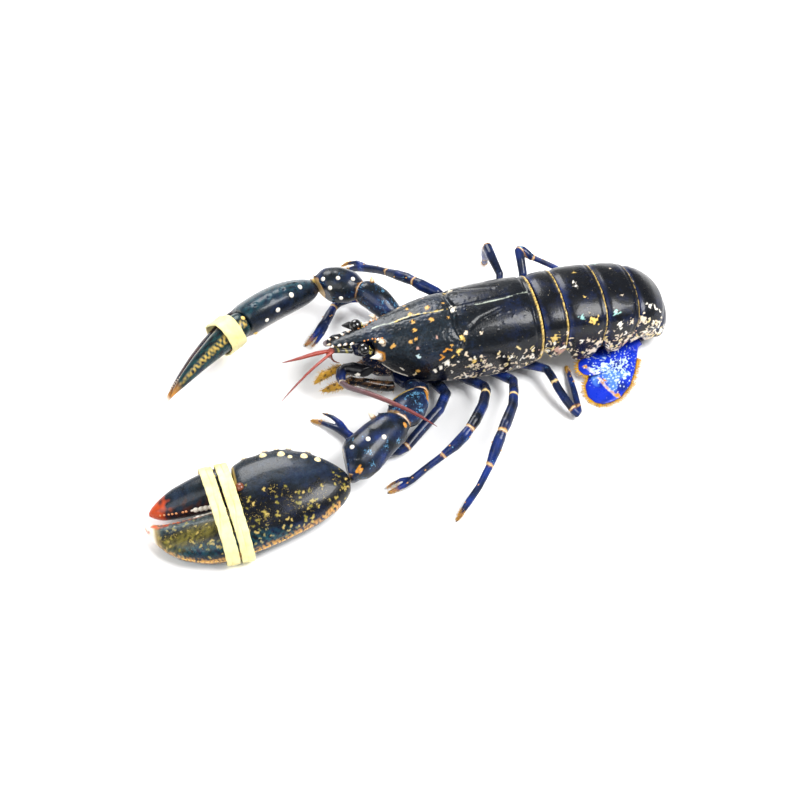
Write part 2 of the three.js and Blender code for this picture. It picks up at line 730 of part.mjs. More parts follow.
const CLAW_ARMS = {
  left: {
    turn: 1,
    ischium: [
      [83, 12.9, 11.4, 5.2, 5.2],
      [82, 18, 11.6, 5.8, 5.4],
      [79.4, 24.6, 14.2, 6.2, 5.6],
      [80.4, 28.6, 16.4, 5.6, 5.2],
    ],
    merus: [
      [80.9, 29.6, 16.8, 5.6, 5.2],
      [85.6, 35.6, 19.4, 9.4, 7.4],
      [92, 42.8, 21.8, 11.6, 8.6],
      [97.2, 48.8, 22.4, 10.8, 8.4],
      [98.8, 51, 22.4, 7.4, 6.4],
    ],
    carpus: [
      [99.6, 52.1, 22.4, 7.2, 6.4],
      [104.6, 55, 22.4, 11.4, 10.4],
      [116, 62, 22.4, 13, 11.6],
      [128, 70.4, 20.8, 14, 12.2],
      [134.4, 75.8, 19.6, 12.2, 11],
      [138.2, 79, 18.8, 7.4, 7],
    ],
  },
  right: {
    turn: -1,
    ischium: [
      [83, -12.9, 11.4, 5.2, 5.2],
      [82, -18, 11.8, 5.8, 5.4],
      [80, -24.4, 15.4, 6, 5.6],
      [80, -27.6, 19, 5.6, 5.2],
    ],
    merus: [
      [80.2, -28.4, 20, 5.6, 5.2],
      [83, -34, 25, 7.6, 7.4],
      [88.6, -42.4, 29, 9, 8.6],
      [95, -49.4, 31, 8.6, 8.4],
      [97.6, -52, 31, 6.4, 6.2],
    ],
    carpus: [
      [98.6, -53, 30.9, 6.6, 6.4],
      [102.6, -56.2, 30.8, 10.4, 10.2],
      [110, -61, 30.4, 11.8, 11.6],
      [117, -64.2, 29.4, 11.2, 10.8],
      [121.6, -65.4, 28.2, 8, 7.6],
      [123.4, -66, 27.6, 5.6, 5.4],
    ],
  },
};

for (const [side, arm] of Object.entries(CLAW_ARMS)) {
  const spikes = (limb, list) =>
    list.map(({ t, degrees, length, radius }) => limb.spike(t, degrees * arm.turn * -1, length, radius, 0.5, 5));
  const ischium = new Limb(arm.ischium, { sides: 10, steps: 1, before: 3, after: 3 });
  const merus = new Limb(arm.merus, { sides: 12, steps: 2, before: 3, after: 3 });
  const carpus = new Limb(arm.carpus, { sides: 14, steps: 2, before: 3, after: 3 });
  const names = ["ischium", "merus", "carpus"].map((part) => `claw_${part}_${side}`);
  addPiece(names[0], ischium.solid(), shellBlue);
  addPiece(names[1], fuse([merus.solid(), ...spikes(merus, ARM_SPINES)]), clawShell);
  addPiece(names[2], fuse([carpus.solid(), ...spikes(carpus, WRIST_SPINES)]), clawShell);
  partBetween(names[0], names[1], arm.ischium, arm.merus);
  partBetween(names[1], names[2], arm.merus, arm.carpus);
  part(null, names[0], vec(0, arm.turn * (STERNUM_HALF_WIDTH + GAP / 2), 0), vec(0, arm.turn, 0));
}

// Claws. Outlines run from the wrist to the tip, as [distance, inner edge, outer edge, half thickness, bow].
// The bow bends the claw down towards its tip.

const CRUSHER = {
  side: "left",
  wrist: vec(139.8, 85.4, 17.6),
  tip: vec(264, 81, 12.6),
  inward: -1,
  roll: 7,
  hinge: 68,
  palm: [
    [0, 5.5, -5.5, 5.5, 0],
    [5, 12, -12, 9, 0],
    [12, 18.4, -17, 12.2, 0],
    [22, 25.6, -22, 14.6, 0],
    [34, 29.8, -26, 16, 0],
    [46, 30.8, -29.5, 16.2, 0],
    [58, 29.2, -32, 15.4, 0],
    [67, 26, -33.5, 14.4, -0.2],
  ],
  finger: [
    [67.1, -1, -34, 14.3, -0.3],
    [80, -2.2, -34.6, 12.2, -0.8],
    [92, -2.4, -32.6, 10.4, -1.6],
    [104, -2.2, -27.4, 8.2, -2.6],
    [113, -1, -20, 6, -3.4],
    [119, 1.6, -12, 4, -4],
    [123, 5, -4, 2.2, -4.2],
    [125, 7.4, 2.6, 1, -4.3],
  ],
  dactyl: [
    [67.4, 24, 2.6, 10, -0.2],
    [72, 26.6, 1.8, 11.6, -0.4],
    [80, 26.6, 1.6, 12, -0.8],
    [92, 24, 1.6, 10.6, -1.6],
    [104, 20.4, 1.8, 8.4, -2.6],
    [112, 16, 2.6, 6.2, -3.2],
    [117, 12.4, 5, 3.8, -3.7],
    [120, 9.6, 6.8, 1.4, -4],
  ],
  teeth: [
    { s: 82, radius: 3.1 },
    { s: 90, radius: 2.9 },
    { s: 97, radius: 2.4 },
    { s: 103, radius: 1.9 },
    { s: 108, radius: 1.6 },
  ],
  knobs: [
    { s: 20, w: 23.6, n: 4, radius: 1.8 },
    { s: 31, w: 28.2, n: 4.4, radius: 1.9 },
    { s: 38, w: 28.8, n: 6.6, radius: 1.6 },
    { s: 45, w: 29.6, n: 4.4, radius: 1.9 },
    { s: 58, w: 28, n: 4, radius: 1.8 },
  ],
};

const CUTTER = {
  side: "right",
  wrist: vec(124.4, -66.8, 27.2),
  tip: vec(238, -11.6, 11),
  inward: 1,
  roll: 52,
  hinge: 55,
  palm: [
    [0, 5, -5, 5, 0],
    [5, 9.8, -11.6, 7.8, 1.2],
    [12, 14.4, -14.6, 9.8, 3],
    [22, 18.4, -16, 11, 5.4],
    [34, 20.4, -16.6, 11.2, 7.4],
    [45, 20, -17, 11, 8.4],
    [54, 18.2, -17.4, 10.4, 8.6],
  ],
  finger: [
    [54.1, -0.8, -17.4, 10.3, 8.6],
    [66, -1.2, -17.6, 8.8, 8],
    [79, -1.2, -16.4, 7.4, 6.6],
    [92, -1, -14, 5.8, 4.6],
    [104, -0.6, -10.8, 4.2, 2],
    [114, 0, -7.4, 2.8, -0.6],
    [121, 1.2, -4, 1.8, -2.6],
    [126, 2.6, -0.6, 0.8, -4],
  ],
  dactyl: [
    [54.4, 16.6, 1.2, 7.6, 8.6],
    [60, 18.4, 0.9, 8.4, 8.4],
    [68, 18.2, 0.8, 8.4, 7.8],
    [81, 16, 0.8, 7, 6.2],
    [94, 13, 0.8, 5.4, 4.2],
    [106, 9.6, 1.2, 3.9, 1.6],
    [114, 7, 1.8, 2.6, -0.6],
    [120, 5, 3, 1, -2.6],
  ],
  teeth: [],
  knobs: [
    { s: 14, w: 13.4, n: 9, radius: 1.6 },
    { s: 24, w: 16.6, n: 11.4, radius: 1.8 },
    { s: 35, w: 18.6, n: 13, radius: 1.8 },
    { s: 45, w: 18, n: 13.6, radius: 1.7 },
  ],
};

function clawAxes({ wrist, tip, inward, roll }) {
  const along = tip.clone().sub(wrist).normalize();
  const level = vec(0, 0, 0).crossVectors(UP, along).normalize().multiplyScalar(inward);
  const back = vec(0, 0, 0).crossVectors(along, level).multiplyScalar(inward).normalize();
  const across = level.clone().multiplyScalar(Math.cos(roll * RAD)).addScaledVector(back, Math.sin(roll * RAD));
  const upper = back.clone().multiplyScalar(Math.cos(roll * RAD)).addScaledVector(level, -Math.sin(roll * RAD));
  return { along, across, upper };
}

// A point of the claw from its own distances: along, towards the dactyl's side, and up through the thickness.
function clawPoint(claw, s, w, n) {
  const { along, across, upper } = clawAxes(claw);
  return claw.wrist.clone().addScaledVector(along, s).addScaledVector(across, w).addScaledVector(upper, n);
}

function clawRing(claw, [s, inner, outer, thick, bow], sides) {
  const ring = [];
  for (let i = 0; i < sides; i++) {
    const a = (2 * Math.PI * i) / sides;
    const bend = Math.sign(Math.sin(a)) * Math.pow(Math.abs(Math.sin(a)), 0.92);
    ring.push(clawPoint(claw, s, (inner + outer) / 2 + ((inner - outer) / 2) * Math.cos(a), bow + thick * bend));
  }
  return ring;
}

// Extra stations between the named ones, eased, so that the claw's outline stays round.
function refine(stations, parts) {
  const curve = (k) => new THREE.CatmullRomCurve3(stations.map((s) => vec(s[0], s[k], 0)), false, "centripetal");
  const curves = [1, 2, 3, 4].map(curve);
  const fine = [];
  const count = (stations.length - 1) * parts;
  for (let i = 0; i <= count; i++) {
    const points = curves.map((c) => c.getPoint(i / count));
    fine.push([points[0].x, ...points.map((p) => p.y)]);
  }
  return fine;
}

const CLAW_SIDES = 16;

function buildClaw(claw) {
  const { side, palm, finger, dactyl, knobs, teeth } = claw;
  const start = clawRing(claw, [palm[0][0] - 4, ...palm[0].slice(1)], CLAW_SIDES);
  const rings = [...refine(palm, 1), ...refine(finger, 1)].map((station) => clawRing(claw, station, CLAW_SIDES));
  const shell = [loft([start, ...rings])];
  for (const { s, w, n, radius } of knobs) shell.push(knob(clawPoint(claw, s, w, n), radius, 1.15));
  for (const { s, radius } of teeth) shell.push(knob(clawPoint(claw, s, -3.4, -1.6 - (s - 80) * 0.07), radius));
  addPiece(`claw_${side}`, fuse(shell), clawShell);
  addPiece(`claw_finger_${side}`, loft(refine(dactyl, 1).map((station) => clawRing(claw, station, 14))), clawShell);
  const { along } = clawAxes(claw);
  const wristPlane = clawPoint(claw, -0.5, 0, 0);
  part(`claw_carpus_${side}`, `claw_${side}`, wristPlane, along);
}

buildClaw(CRUSHER);
buildClaw(CUTTER);

// Rubber bands that hold the claws shut: flat loops, stretched round both fingers

const BAND_THICK = 1.4;
const BAND_FIT = 0.45; // between the band and the shell under it
const BAND_PARTS = 30;

const BANDS = {
  band_left_front: { claw: CRUSHER, s: 79.8, slant: 3.2, half: 4.1 },
  band_left_rear: { claw: CRUSHER, s: 70.4, slant: 2.8, half: 4 },
  band_right: { claw: CUTTER, s: 66.5, slant: 0.6, half: 5.6 },
};

// The stretched loop touches what sticks out most in each direction across the claw.
function bandSolid({ claw, s, slant, half }) {
  const near = [claw.palm, claw.finger, claw.dactyl]
    .flatMap((stations) => refine(stations, 6))
    .filter((station) => Math.abs(station[0] - s) < half + slant + 2);
  const skin = near.flatMap(([, inner, outer, thick, bow]) =>
    Array.from({ length: 24 }, (_, i) => {
      const a = (Math.PI * i) / 12;
      return [(inner + outer) / 2 + ((inner - outer) / 2) * Math.cos(a), bow + thick * Math.sin(a)];
    }),
  );
  const reach = Math.max(...skin.map(([w]) => Math.abs(w)));
  const supports = Array.from({ length: BAND_PARTS }, (_, i) => {
    const a = (2 * Math.PI * i) / BAND_PARTS;
    const [c, d] = [Math.cos(a), Math.sin(a)];
    return { c, d, h: Math.max(...skin.map(([w, n]) => w * c + n * d)) };
  });
  const corner = (i, lift) => {
    const [p, q] = [supports[i], supports[(i + 1) % BAND_PARTS]];
    const cross = p.c * q.d - p.d * q.c;
    const [hp, hq] = [p.h + lift, q.h + lift];
    return [(hp * q.d - hq * p.d) / cross, (hq * p.c - hp * q.c) / cross];
  };
  const rings = supports.map((_, i) =>
    [
      [-half, BAND_FIT],
      [half, BAND_FIT],
      [half, BAND_FIT + BAND_THICK],
      [-half, BAND_FIT + BAND_THICK],
    ].map(([across, lift]) => {
      const [w, n] = corner(i, lift);
      return clawPoint(claw, s + across + (slant * w) / reach, w, n);
    }),
  );
  return closedLoop(rings);
}

function closedLoop(rings) {
  const n = rings[0].length;
  const triangles = [];
  rings.forEach((_, k) => {
    const next = (k + 1) % rings.length;
    for (let i = 0; i < n; i++) {
      const j = (i + 1) % n;
      const [a, b, c, d] = [k * n + i, k * n + j, next * n + j, next * n + i];
      triangles.push([a, b, c], [a, c, d]);
    }
  });
  const solid = solidOf(geometryOf(rings.flat(), triangles));
  if (solid.volume() > 0) return solid;
  return solidOf(geometryOf(rings.flat(), triangles.map(([a, b, c]) => [a, c, b])));
}

for (const [name, band] of Object.entries(BANDS)) addPiece(name, bandSolid(band), bandRubber);

// Walking legs: each is a thigh from the sternum to the knee, a shin, and a foot with its tip

const HIP = STERNUM_HALF_WIDTH + GAP;
const LEGS = {
  leg_2_left: {
    thigh: [
      [68, HIP, 9, 3.6, 3.4],
      [65.4, 21, 9.6, 3.8, 3.6],
      [64, 29.6, 12.4, 3.4, 3.4],
      [71.4, 40.4, 12, 3.4, 3.6],
      [82.6, 48.6, 10, 3.4, 3.6],
      [93.4, 56.8, 8, 3.3, 3.4],
      [97, 60, 7.4, 2.9, 2.9],
    ],
    shin: [
      [97.9, 60.3, 7.2, 2.9, 2.9],
      [103, 61, 6.4, 3.2, 3.2],
      [111, 59, 5.7, 3.2, 3.2],
      [116.4, 56, 5.2, 2.5, 2.5],
    ],
    foot: [
      [117.2, 55.4, 5.1, 2.5, 2.5],
      [121, 51.6, 5, 2.9, 2.9],
      [127.6, 43, 5, 3.1, 3.1],
      [131.6, 36.6, 5, 2.9, 2.8],
      [137, 30.4, 4.2, 2, 1.9],
      [143, 24, 2.6, 1.4, 1.4],
      [148.6, 19, 0.5, 0.6, 0.6],
    ],
    pincer: [
      [130, 37, 6, 1.8, 1.8],
      [132, 31.6, 7, 1.9, 1.7],
      [135.6, 24.6, 6.2, 1.5, 1.4],
      [140.4, 18.6, 4.4, 0.6, 0.6],
    ],
  },
  leg_3_left: {
    thigh: [
      [50, HIP, 9, 3.6, 3.4],
      [45, 21, 9.4, 3.4, 3.3],
      [39.6, 31.4, 13.6, 3.1, 3.1],
      [42.6, 43.4, 24, 3.2, 3.6],
      [48.4, 56, 27, 3.4, 3.8],
      [57.3, 68.6, 29.5, 3.6, 4],
      [61.6, 73, 29.4, 3.1, 3.1],
    ],
    shin: [
      [62.4, 73.7, 29.1, 3, 3],
      [66, 76.4, 27.6, 3.5, 3.6],
      [73, 79.9, 24.4, 3.3, 3.4],
      [80.4, 82, 20.6, 2.4, 2.4],
    ],
    foot: [
      [81.3, 82.3, 20, 2.3, 2.3],
      [92.6, 83.9, 13, 2.2, 2.2],
      [101, 85.6, 7.6, 2.4, 2.4],
      [106, 86.4, 5, 2, 2],
      [111.6, 86.6, 2.6, 1.3, 1.3],
      [116.6, 86.6, 0.5, 0.6, 0.6],
    ],
    pincer: [
      [102.6, 84.2, 7.4, 1.3, 1.3],
      [107.4, 82.8, 6.2, 1.3, 1.1],
      [112.6, 82.6, 3.6, 0.9, 0.9],
      [116.4, 83.6, 1.6, 0.5, 0.5],
    ],
  },
  leg_4_left: {
    thigh: [
      [31, HIP, 9, 3.6, 3.4],
      [26, 21, 9.4, 3.4, 3.3],
      [21, 31.4, 13.6, 3.1, 3.1],
      [26.4, 48.6, 25, 3.1, 3.5],
      [30.8, 60.7, 27, 3.2, 3.6],
      [39.6, 74.7, 29, 3.7, 4],
      [43.4, 79.8, 28.6, 3.2, 3.2],
    ],
    shin: [
      [44, 80.6, 28.3, 3.1, 3.1],
      [46.4, 83.8, 26.8, 3.6, 3.8],
      [50.6, 89, 23, 3.5, 3.6],
      [55.4, 95, 18.6, 2.6, 2.6],
    ],
    foot: [
      [56, 95.8, 18, 2.4, 2.4],
      [64.6, 103.8, 11, 2.2, 2.2],
      [72.6, 109.4, 6, 2.3, 2.3],
      [75.6, 111.8, 4.2, 1.9, 1.9],
      [79.6, 115, 1.9, 1.2, 1.2],
      [82.8, 117.9, 0.4, 0.6, 0.6],
    ],
  },
  leg_5_left: {
    thigh: [
      [10, HIP, 9, 3.2, 3.2],
      [4, 20, 10.6, 3.2, 3.2],
      [-2.6, 26.6, 12.2, 2.8, 2.8],
      [-3.8, 34, 12.4, 2.7, 2.7],
      [-5, 42, 10.8, 2.7, 2.7],
      [-7.4, 51, 8.8, 2.8, 2.8],
      [-9.6, 57, 7.2, 2.6, 2.6],
    ],
    shin: [
      [-10, 58.2, 6.8, 2.6, 2.6],
      [-11.6, 61, 5.6, 2.5, 2.5],
      [-13.4, 58.4, 4.9, 2.4, 2.4],
      [-14.2, 54.4, 4.6, 2.2, 2.2],
    ],
    foot: [
      [-14.4, 53.4, 4.5, 2.2, 2.2],
      [-15.2, 48, 4.4, 2.2, 2.2],
      [-16, 41.9, 4.2, 2.1, 2.1],
      [-17.2, 31.6, 3.4, 1.9, 1.9],
      [-18.2, 23, 2, 1.3, 1.3],
      [-19, 17.6, 0.5, 0.6, 0.6],
    ],
  },
  leg_2_right: {
    thigh: [
      [68, -HIP, 9, 3.6, 3.4],
      [68, -21, 8.4, 3.8, 3.6],
      [69, -29, 8.4, 3.4, 3.4],
      [74.6, -39, 9.6, 3.8, 4],
      [84, -52, 11, 3.8, 4],
      [92, -62, 9.6, 3.6, 3.7],
      [95, -65.6, 8.8, 3, 3],
    ],
    shin: [
      [95.7, -66.4, 8.6, 3, 3],
      [101, -69.4, 7, 3.4, 3.4],
      [108.6, -68.4, 6.4, 3.4, 3.4],
      [113, -64.4, 6.4, 2.6, 2.6],
    ],
    foot: [
      [113.6, -63.6, 6.4, 2.6, 2.6],
      [117, -58.6, 7, 3.2, 3.2],
      [121.6, -51.6, 8, 3.2, 3.2],
      [125, -48.6, 7.6, 3, 3],
      [130, -45, 5.4, 2, 2],
      [135, -42.4, 2.6, 1.3, 1.3],
      [138, -41.4, 0.5, 0.6, 0.6],
    ],
    pincer: [
      [121.6, -48.6, 8.6, 1.9, 1.9],
      [125.6, -43, 8, 1.7, 1.6],
      [130, -39.4, 5.6, 1.3, 1.3],
      [134, -37.8, 2.8, 0.6, 0.6],
    ],
  },
  leg_3_right: {
    thigh: [
      [49, -HIP, 9, 3.6, 3.4],
      [46, -21, 10, 3.6, 3.4],
      [43.4, -29.6, 15.6, 3.2, 3.2],
      [45.6, -35.6, 24, 3.3, 3.5],
      [51, -39.6, 29, 3.4, 3.8],
      [59.4, -47, 30.8, 3.8, 4.2],
      [62.4, -51, 30.6, 3.2, 3.2],
    ],
    shin: [
      [63, -52, 30.4, 3.1, 3.1],
      [65.6, -56.4, 29, 3.6, 3.8],
      [70.2, -63.6, 26, 3.4, 3.5],
      [74.4, -71.6, 21.6, 2.7, 2.7],
    ],
    foot: [
      [74.8, -72.6, 21, 2.6, 2.6],
      [79.6, -80.6, 16.4, 2.7, 2.7],
      [86, -89.4, 11, 2.9, 2.9],
      [90, -93.4, 7.8, 2.4, 2.4],
      [95, -97.6, 3.6, 1.5, 1.5],
      [99, -100.2, 0.4, 0.6, 0.6],
    ],
    pincer: [
      [85, -91, 11.2, 1.7, 1.7],
      [89.4, -96.8, 9.8, 1.6, 1.5],
      [94.4, -101.2, 5.6, 1.2, 1.2],
      [98.4, -103.6, 1.8, 0.6, 0.6],
    ],
  },
  leg_4_right: {
    thigh: [
      [29, -HIP, 9, 3.4, 3.2],
      [24, -21, 10, 3.4, 3.2],
      [16, -29.4, 16, 2.8, 2.8],
      [10, -36, 25, 2.4, 2.6],
      [8, -43, 31, 2.5, 2.7],
      [9.8, -57.6, 34.6, 3.2, 3.4],
      [9.8, -64, 34.2, 3.2, 3.4],
    ],
    shin: [
      [9.6, -65.2, 33.4, 3.2, 3.4],
      [9.2, -68.4, 28.6, 3.5, 3.6],
      [8.4, -72, 20.4, 3.2, 3.3],
      [7.8, -74.2, 15.4, 2.5, 2.5],
    ],
    foot: [
      [7.7, -74.6, 14.4, 2.3, 2.3],
      [7.2, -76.6, 9.6, 2.2, 2.2],
      [6.4, -79.2, 5.2, 2, 2],
      [6, -80.8, 3.2, 1.7, 1.7],
      [5.4, -82.6, 1.6, 1.1, 1.1],
      [4.8, -84.2, 0.4, 0.6, 0.6],
    ],
  },
  leg_5_right: {
    thigh: [
      [11, -HIP, 9, 3.2, 3.2],
      [6, -21, 10.6, 3.2, 3.2],
      [0, -28.4, 17, 2.8, 2.8],
      [-4.4, -33.6, 26, 2.7, 2.9],
      [-6, -38, 32.4, 2.8, 3],
      [-6.8, -46, 36.6, 3, 3.2],
      [-7.6, -52.2, 38, 3, 3.1],
    ],
    shin: [
      [-8.6, -54, 38, 2.6, 2.6],
      [-10.6, -54, 37, 2.8, 2.8],
      [-12.8, -51.6, 35.4, 2.8, 2.8],
      [-15.4, -49.6, 33.6, 2.2, 2.2],
    ],
    foot: [
      [-16.4, -49.6, 32.8, 2, 2],
      [-22, -50.6, 27.4, 1.9, 1.9],
      [-32, -52.4, 17.6, 1.9, 1.9],
      [-39, -53.2, 10.4, 1.7, 1.7],
      [-44, -54, 4.4, 1.2, 1.2],
      [-47, -54.6, 0.4, 0.6, 0.6],
    ],
  },
};

for (const [name, { thigh, shin, foot, pincer }] of Object.entries(LEGS)) {
  const side = Math.sign(thigh[0][1]);
  addPiece(`${name}_thigh`, new Limb(thigh, { sides: 9, steps: 1, before: 2, after: 2 }).solid(), shellBlue);
  addPiece(`${name}_shin`, new Limb(shin, { sides: 9, steps: 1, before: 2, after: 2 }).solid(), shellBlue);
  const fingers = [new Limb(foot, { sides: 8, steps: 1, before: 2 }).solid()];
  if (pincer) fingers.push(new Limb(pincer, { sides: 8, steps: 1 }).solid());
  addPiece(`${name}_foot`, fuse(fingers), shellBlue);
  partBetween(`${name}_thigh`, `${name}_shin`, thigh, shin);
  partBetween(`${name}_shin`, `${name}_foot`, shin, foot);
  part(null, `${name}_thigh`, vec(0, side * (STERNUM_HALF_WIDTH + GAP / 2), 0), vec(0, side, 0));
}

// Hips that rise close to the shell's lower edge leave it the same small gap.
for (const name of ["claw_ischium_left", "claw_ischium_right", "leg_3_right_thigh", "leg_4_right_thigh"]) {
  clear(name, "carapace");
}

// What rests on the floor gets a small flat there.
for (const [name, { solid, material }] of pieces) {
  const body = largest(solid.trimByPlane([0, 0, 1], 0)).simplify(SMOOTHING);
  const mesh = new THREE.Mesh(geometryFrom(body), material);
  mesh.name = name;
  root.add(mesh);
}

// The origin goes to the middle of the whole animal's box, on the floor.
const box = new THREE.Box3().setFromObject(root);
const middle = box.getCenter(vec(0, 0, 0));
root.position.set(-middle.x, -middle.y, -box.min.z);

export default root;
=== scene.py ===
# %% [markdown]
# # A European lobster, laid out on a pale floor
#
# The animal is a European lobster: a blue-black shell with cream mottling, bands on both claws and a
# cobalt tail fan curled under. The solids of the part give every plate its place. Each plate here is a
# smooth, dense copy of its solid, on which the grooves, grains and markings of the shell are worked in.
# What is too fine for the solids, such as spines, teeth, bristles and rings, is then set on the shell.

# %% The frame and the tools
import math
import random

import bpy
import numpy as np
from mathutils import Matrix, Vector
from mathutils.bvhtree import BVHTree
from mathutils.kdtree import KDTree


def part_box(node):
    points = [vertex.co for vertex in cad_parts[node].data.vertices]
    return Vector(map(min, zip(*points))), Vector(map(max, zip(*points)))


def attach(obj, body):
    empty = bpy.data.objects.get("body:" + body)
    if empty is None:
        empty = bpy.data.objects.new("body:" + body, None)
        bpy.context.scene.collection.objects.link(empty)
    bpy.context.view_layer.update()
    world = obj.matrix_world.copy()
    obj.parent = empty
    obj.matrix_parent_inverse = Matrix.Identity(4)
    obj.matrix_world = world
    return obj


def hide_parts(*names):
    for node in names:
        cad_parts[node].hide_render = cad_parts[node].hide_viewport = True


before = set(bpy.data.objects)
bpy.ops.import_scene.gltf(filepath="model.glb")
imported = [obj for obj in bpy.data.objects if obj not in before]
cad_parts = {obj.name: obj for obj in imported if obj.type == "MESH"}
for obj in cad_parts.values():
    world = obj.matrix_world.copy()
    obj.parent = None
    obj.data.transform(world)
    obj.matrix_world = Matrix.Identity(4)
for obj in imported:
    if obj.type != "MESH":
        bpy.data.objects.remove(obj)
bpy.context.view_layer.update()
print("nodes", len(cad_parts))

# %% [markdown]
# Sizes on the animal are easiest to say in millimetres from a landmark that anyone can find: the middle
# of the carapace's rear edge, on the floor. X points to the snout, Y to the animal's left, Z up.

# %% Places on the animal
MM = 0.001
hull_low, hull_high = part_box("carapace")
LANDMARK = np.array([hull_low.x, (hull_low.y + hull_high.y) / 2, 0])


def place(x, y, z):
    """A point of the scene, in metres, from millimetres at the carapace's rear edge."""
    return LANDMARK + np.array([x, y, z]) * MM


print("rear edge of the carapace", LANDMARK.round(4))

# %% [markdown]
# The animal is seen from its left side, 50 degrees above the floor. The camera is made first, because
# small marks that only a picture can give, such as one yellow fleck, are then put where the line of
# sight through a picture point meets the shell. They sit on the shell from every other side too.

# %% The camera
PICTURE = 800
TARGET = place(94.6, 33.4, 20)
DISTANCE = 1.2
LENS = 88
HEADING, RISE = math.radians(15), math.radians(50)
towards_camera = np.array(
    [math.sin(HEADING) * math.cos(RISE), math.cos(HEADING) * math.cos(RISE), math.sin(RISE)]
)
eye_point = TARGET + towards_camera * DISTANCE

camera_data = bpy.data.cameras.new("camera")
camera_data.lens = LENS
camera_data.clip_start = 0.05
camera_data.clip_end = 20
camera = bpy.data.objects.new("camera", camera_data)
bpy.context.scene.collection.objects.link(camera)
camera.location = Vector(eye_point)
camera.rotation_euler = Vector(-towards_camera).to_track_quat("-Z", "Y").to_euler()
bpy.context.scene.camera = camera
picture_right = np.array([-math.cos(HEADING), math.sin(HEADING), 0])
picture_up = np.cross(towards_camera, picture_right)


def sight(px, py):
    """The direction of the line of sight through a picture point."""
    half = camera_data.sensor_width / 2 / LENS
    across = (px - PICTURE / 2) / (PICTURE / 2) * half
    up = (PICTURE / 2 - py) / (PICTURE / 2) * half
    line = -towards_camera + picture_right * across + picture_up * up
    return line / np.linalg.norm(line)


print("camera at", eye_point.round(3))

# %% [markdown]
# A wet shell shows the shape of its lights, so three large soft lamps are used: the key lamp over the
# tail, a wide one over the head and one behind the back. An even white sky keeps the floor pale.

# %% Lamps and sky
LAMPS = {
    "key": {"at": (-0.55, 0.35, 0.95), "size": 0.55, "power": 18},
    "fill": {"at": (0.75, 0.5, 0.8), "size": 0.9, "power": 8},
    "rim": {"at": (0.1, -0.9, 0.7), "size": 0.6, "power": 12},
}
for name, lamp in LAMPS.items():
    light = bpy.data.lights.new(name, "AREA")
    light.size = lamp["size"]
    light.energy = lamp["power"]
    holder = bpy.data.objects.new(name, light)
    bpy.context.scene.collection.objects.link(holder)
    holder.location = lamp["at"]
    holder.rotation_euler = (-Vector(lamp["at"])).to_track_quat("-Z", "Y").to_euler()

sky = bpy.data.worlds.new("sky")
sky.use_nodes = True
sky.node_tree.nodes["Background"].inputs["Color"].default_value = (1, 1, 1, 1)
sky.node_tree.nodes["Background"].inputs["Strength"].default_value = 0.3
bpy.context.scene.world = sky
bpy.context.scene.view_settings.view_transform = "Standard"

# %% [markdown]
# Blender's own operators make and change the pieces: primitives, steps in edit mode, and modifiers.
# They act on whatever is selected. Three short helpers select one object, put a modifier on it and
# apply it at once, or run a few steps on its whole mesh.

# %% Selecting and applying
def only(obj):
    """Makes obj the one selected and active object."""
    bpy.ops.object.select_all(action="DESELECT")
    obj.hide_set(False)
    obj.select_set(True)
    bpy.context.view_layer.objects.active = obj


def apply(obj, kind, **settings):
    """Adds a modifier with its settings and applies it."""
    only(obj)
    modifier = obj.modifiers.new(kind.lower(), kind)
    for name, value in settings.items():
        setattr(modifier, name, value)
    bpy.ops.object.modifier_apply(modifier=modifier.name)
    return obj


def in_edit_mode(obj, *steps):
    """Runs mesh operators on the whole of obj, each given with its settings."""
    only(obj)
    bpy.ops.object.mode_set(mode="EDIT")
    bpy.ops.mesh.select_all(action="SELECT")
    for operator, settings in steps:
        operator(**settings)
    bpy.ops.object.mode_set(mode="OBJECT")
    return obj


# %% [markdown]
# The animal lies on plain pale paper. One wide plane is enough for it, since all it does is take the
# shadows. It is stage and not a part of the animal.

# %% The floor
FLOOR_SIZE = 6
bpy.ops.object.select_all(action="DESELECT")
bpy.ops.mesh.primitive_plane_add(size=FLOOR_SIZE, location=(0, 0, 0))
floor = bpy.context.active_object
floor.name = "floor"

# %% [markdown]
# Shell colours are sums and products of patterns, which read best as plain arithmetic. A Field wraps
# one socket of a material, so that `1 - mask * 0.5` adds the Math nodes by itself. Every other node
# comes from one method of Finish, which is given the node's type, its settings and its inputs.

# %% Arithmetic on sockets
class Field:
    """One output socket, with the arithmetic that shell patterns need."""

    def __init__(self, finish, socket):
        self.finish = finish
        self.socket = socket

    def math(self, operation, other=0.0):
        return self.finish.node("Math", {"operation": operation}, {0: self, 1: other})

    def __add__(self, other):
        return self.math("ADD", other)

    def __radd__(self, other):
        return self.math("ADD", other)

    def __mul__(self, other):
        return self.math("MULTIPLY", other)

    def __sub__(self, other):
        return self.math("SUBTRACT", other)

    def __rsub__(self, other):
        return self.finish.node("Math", {"operation": "SUBTRACT"}, {0: other, 1: self})

    def __truediv__(self, other):
        return self.math("DIVIDE", other)

    def clamp(self):
        return self.finish.node("Clamp", {}, {0: self, 1: 0.0, 2: 1.0})

    def step(self, start, end):
        """0 below start and 1 above end, with a straight slope between them."""
        return ((self - start) / (end - start)).clamp()


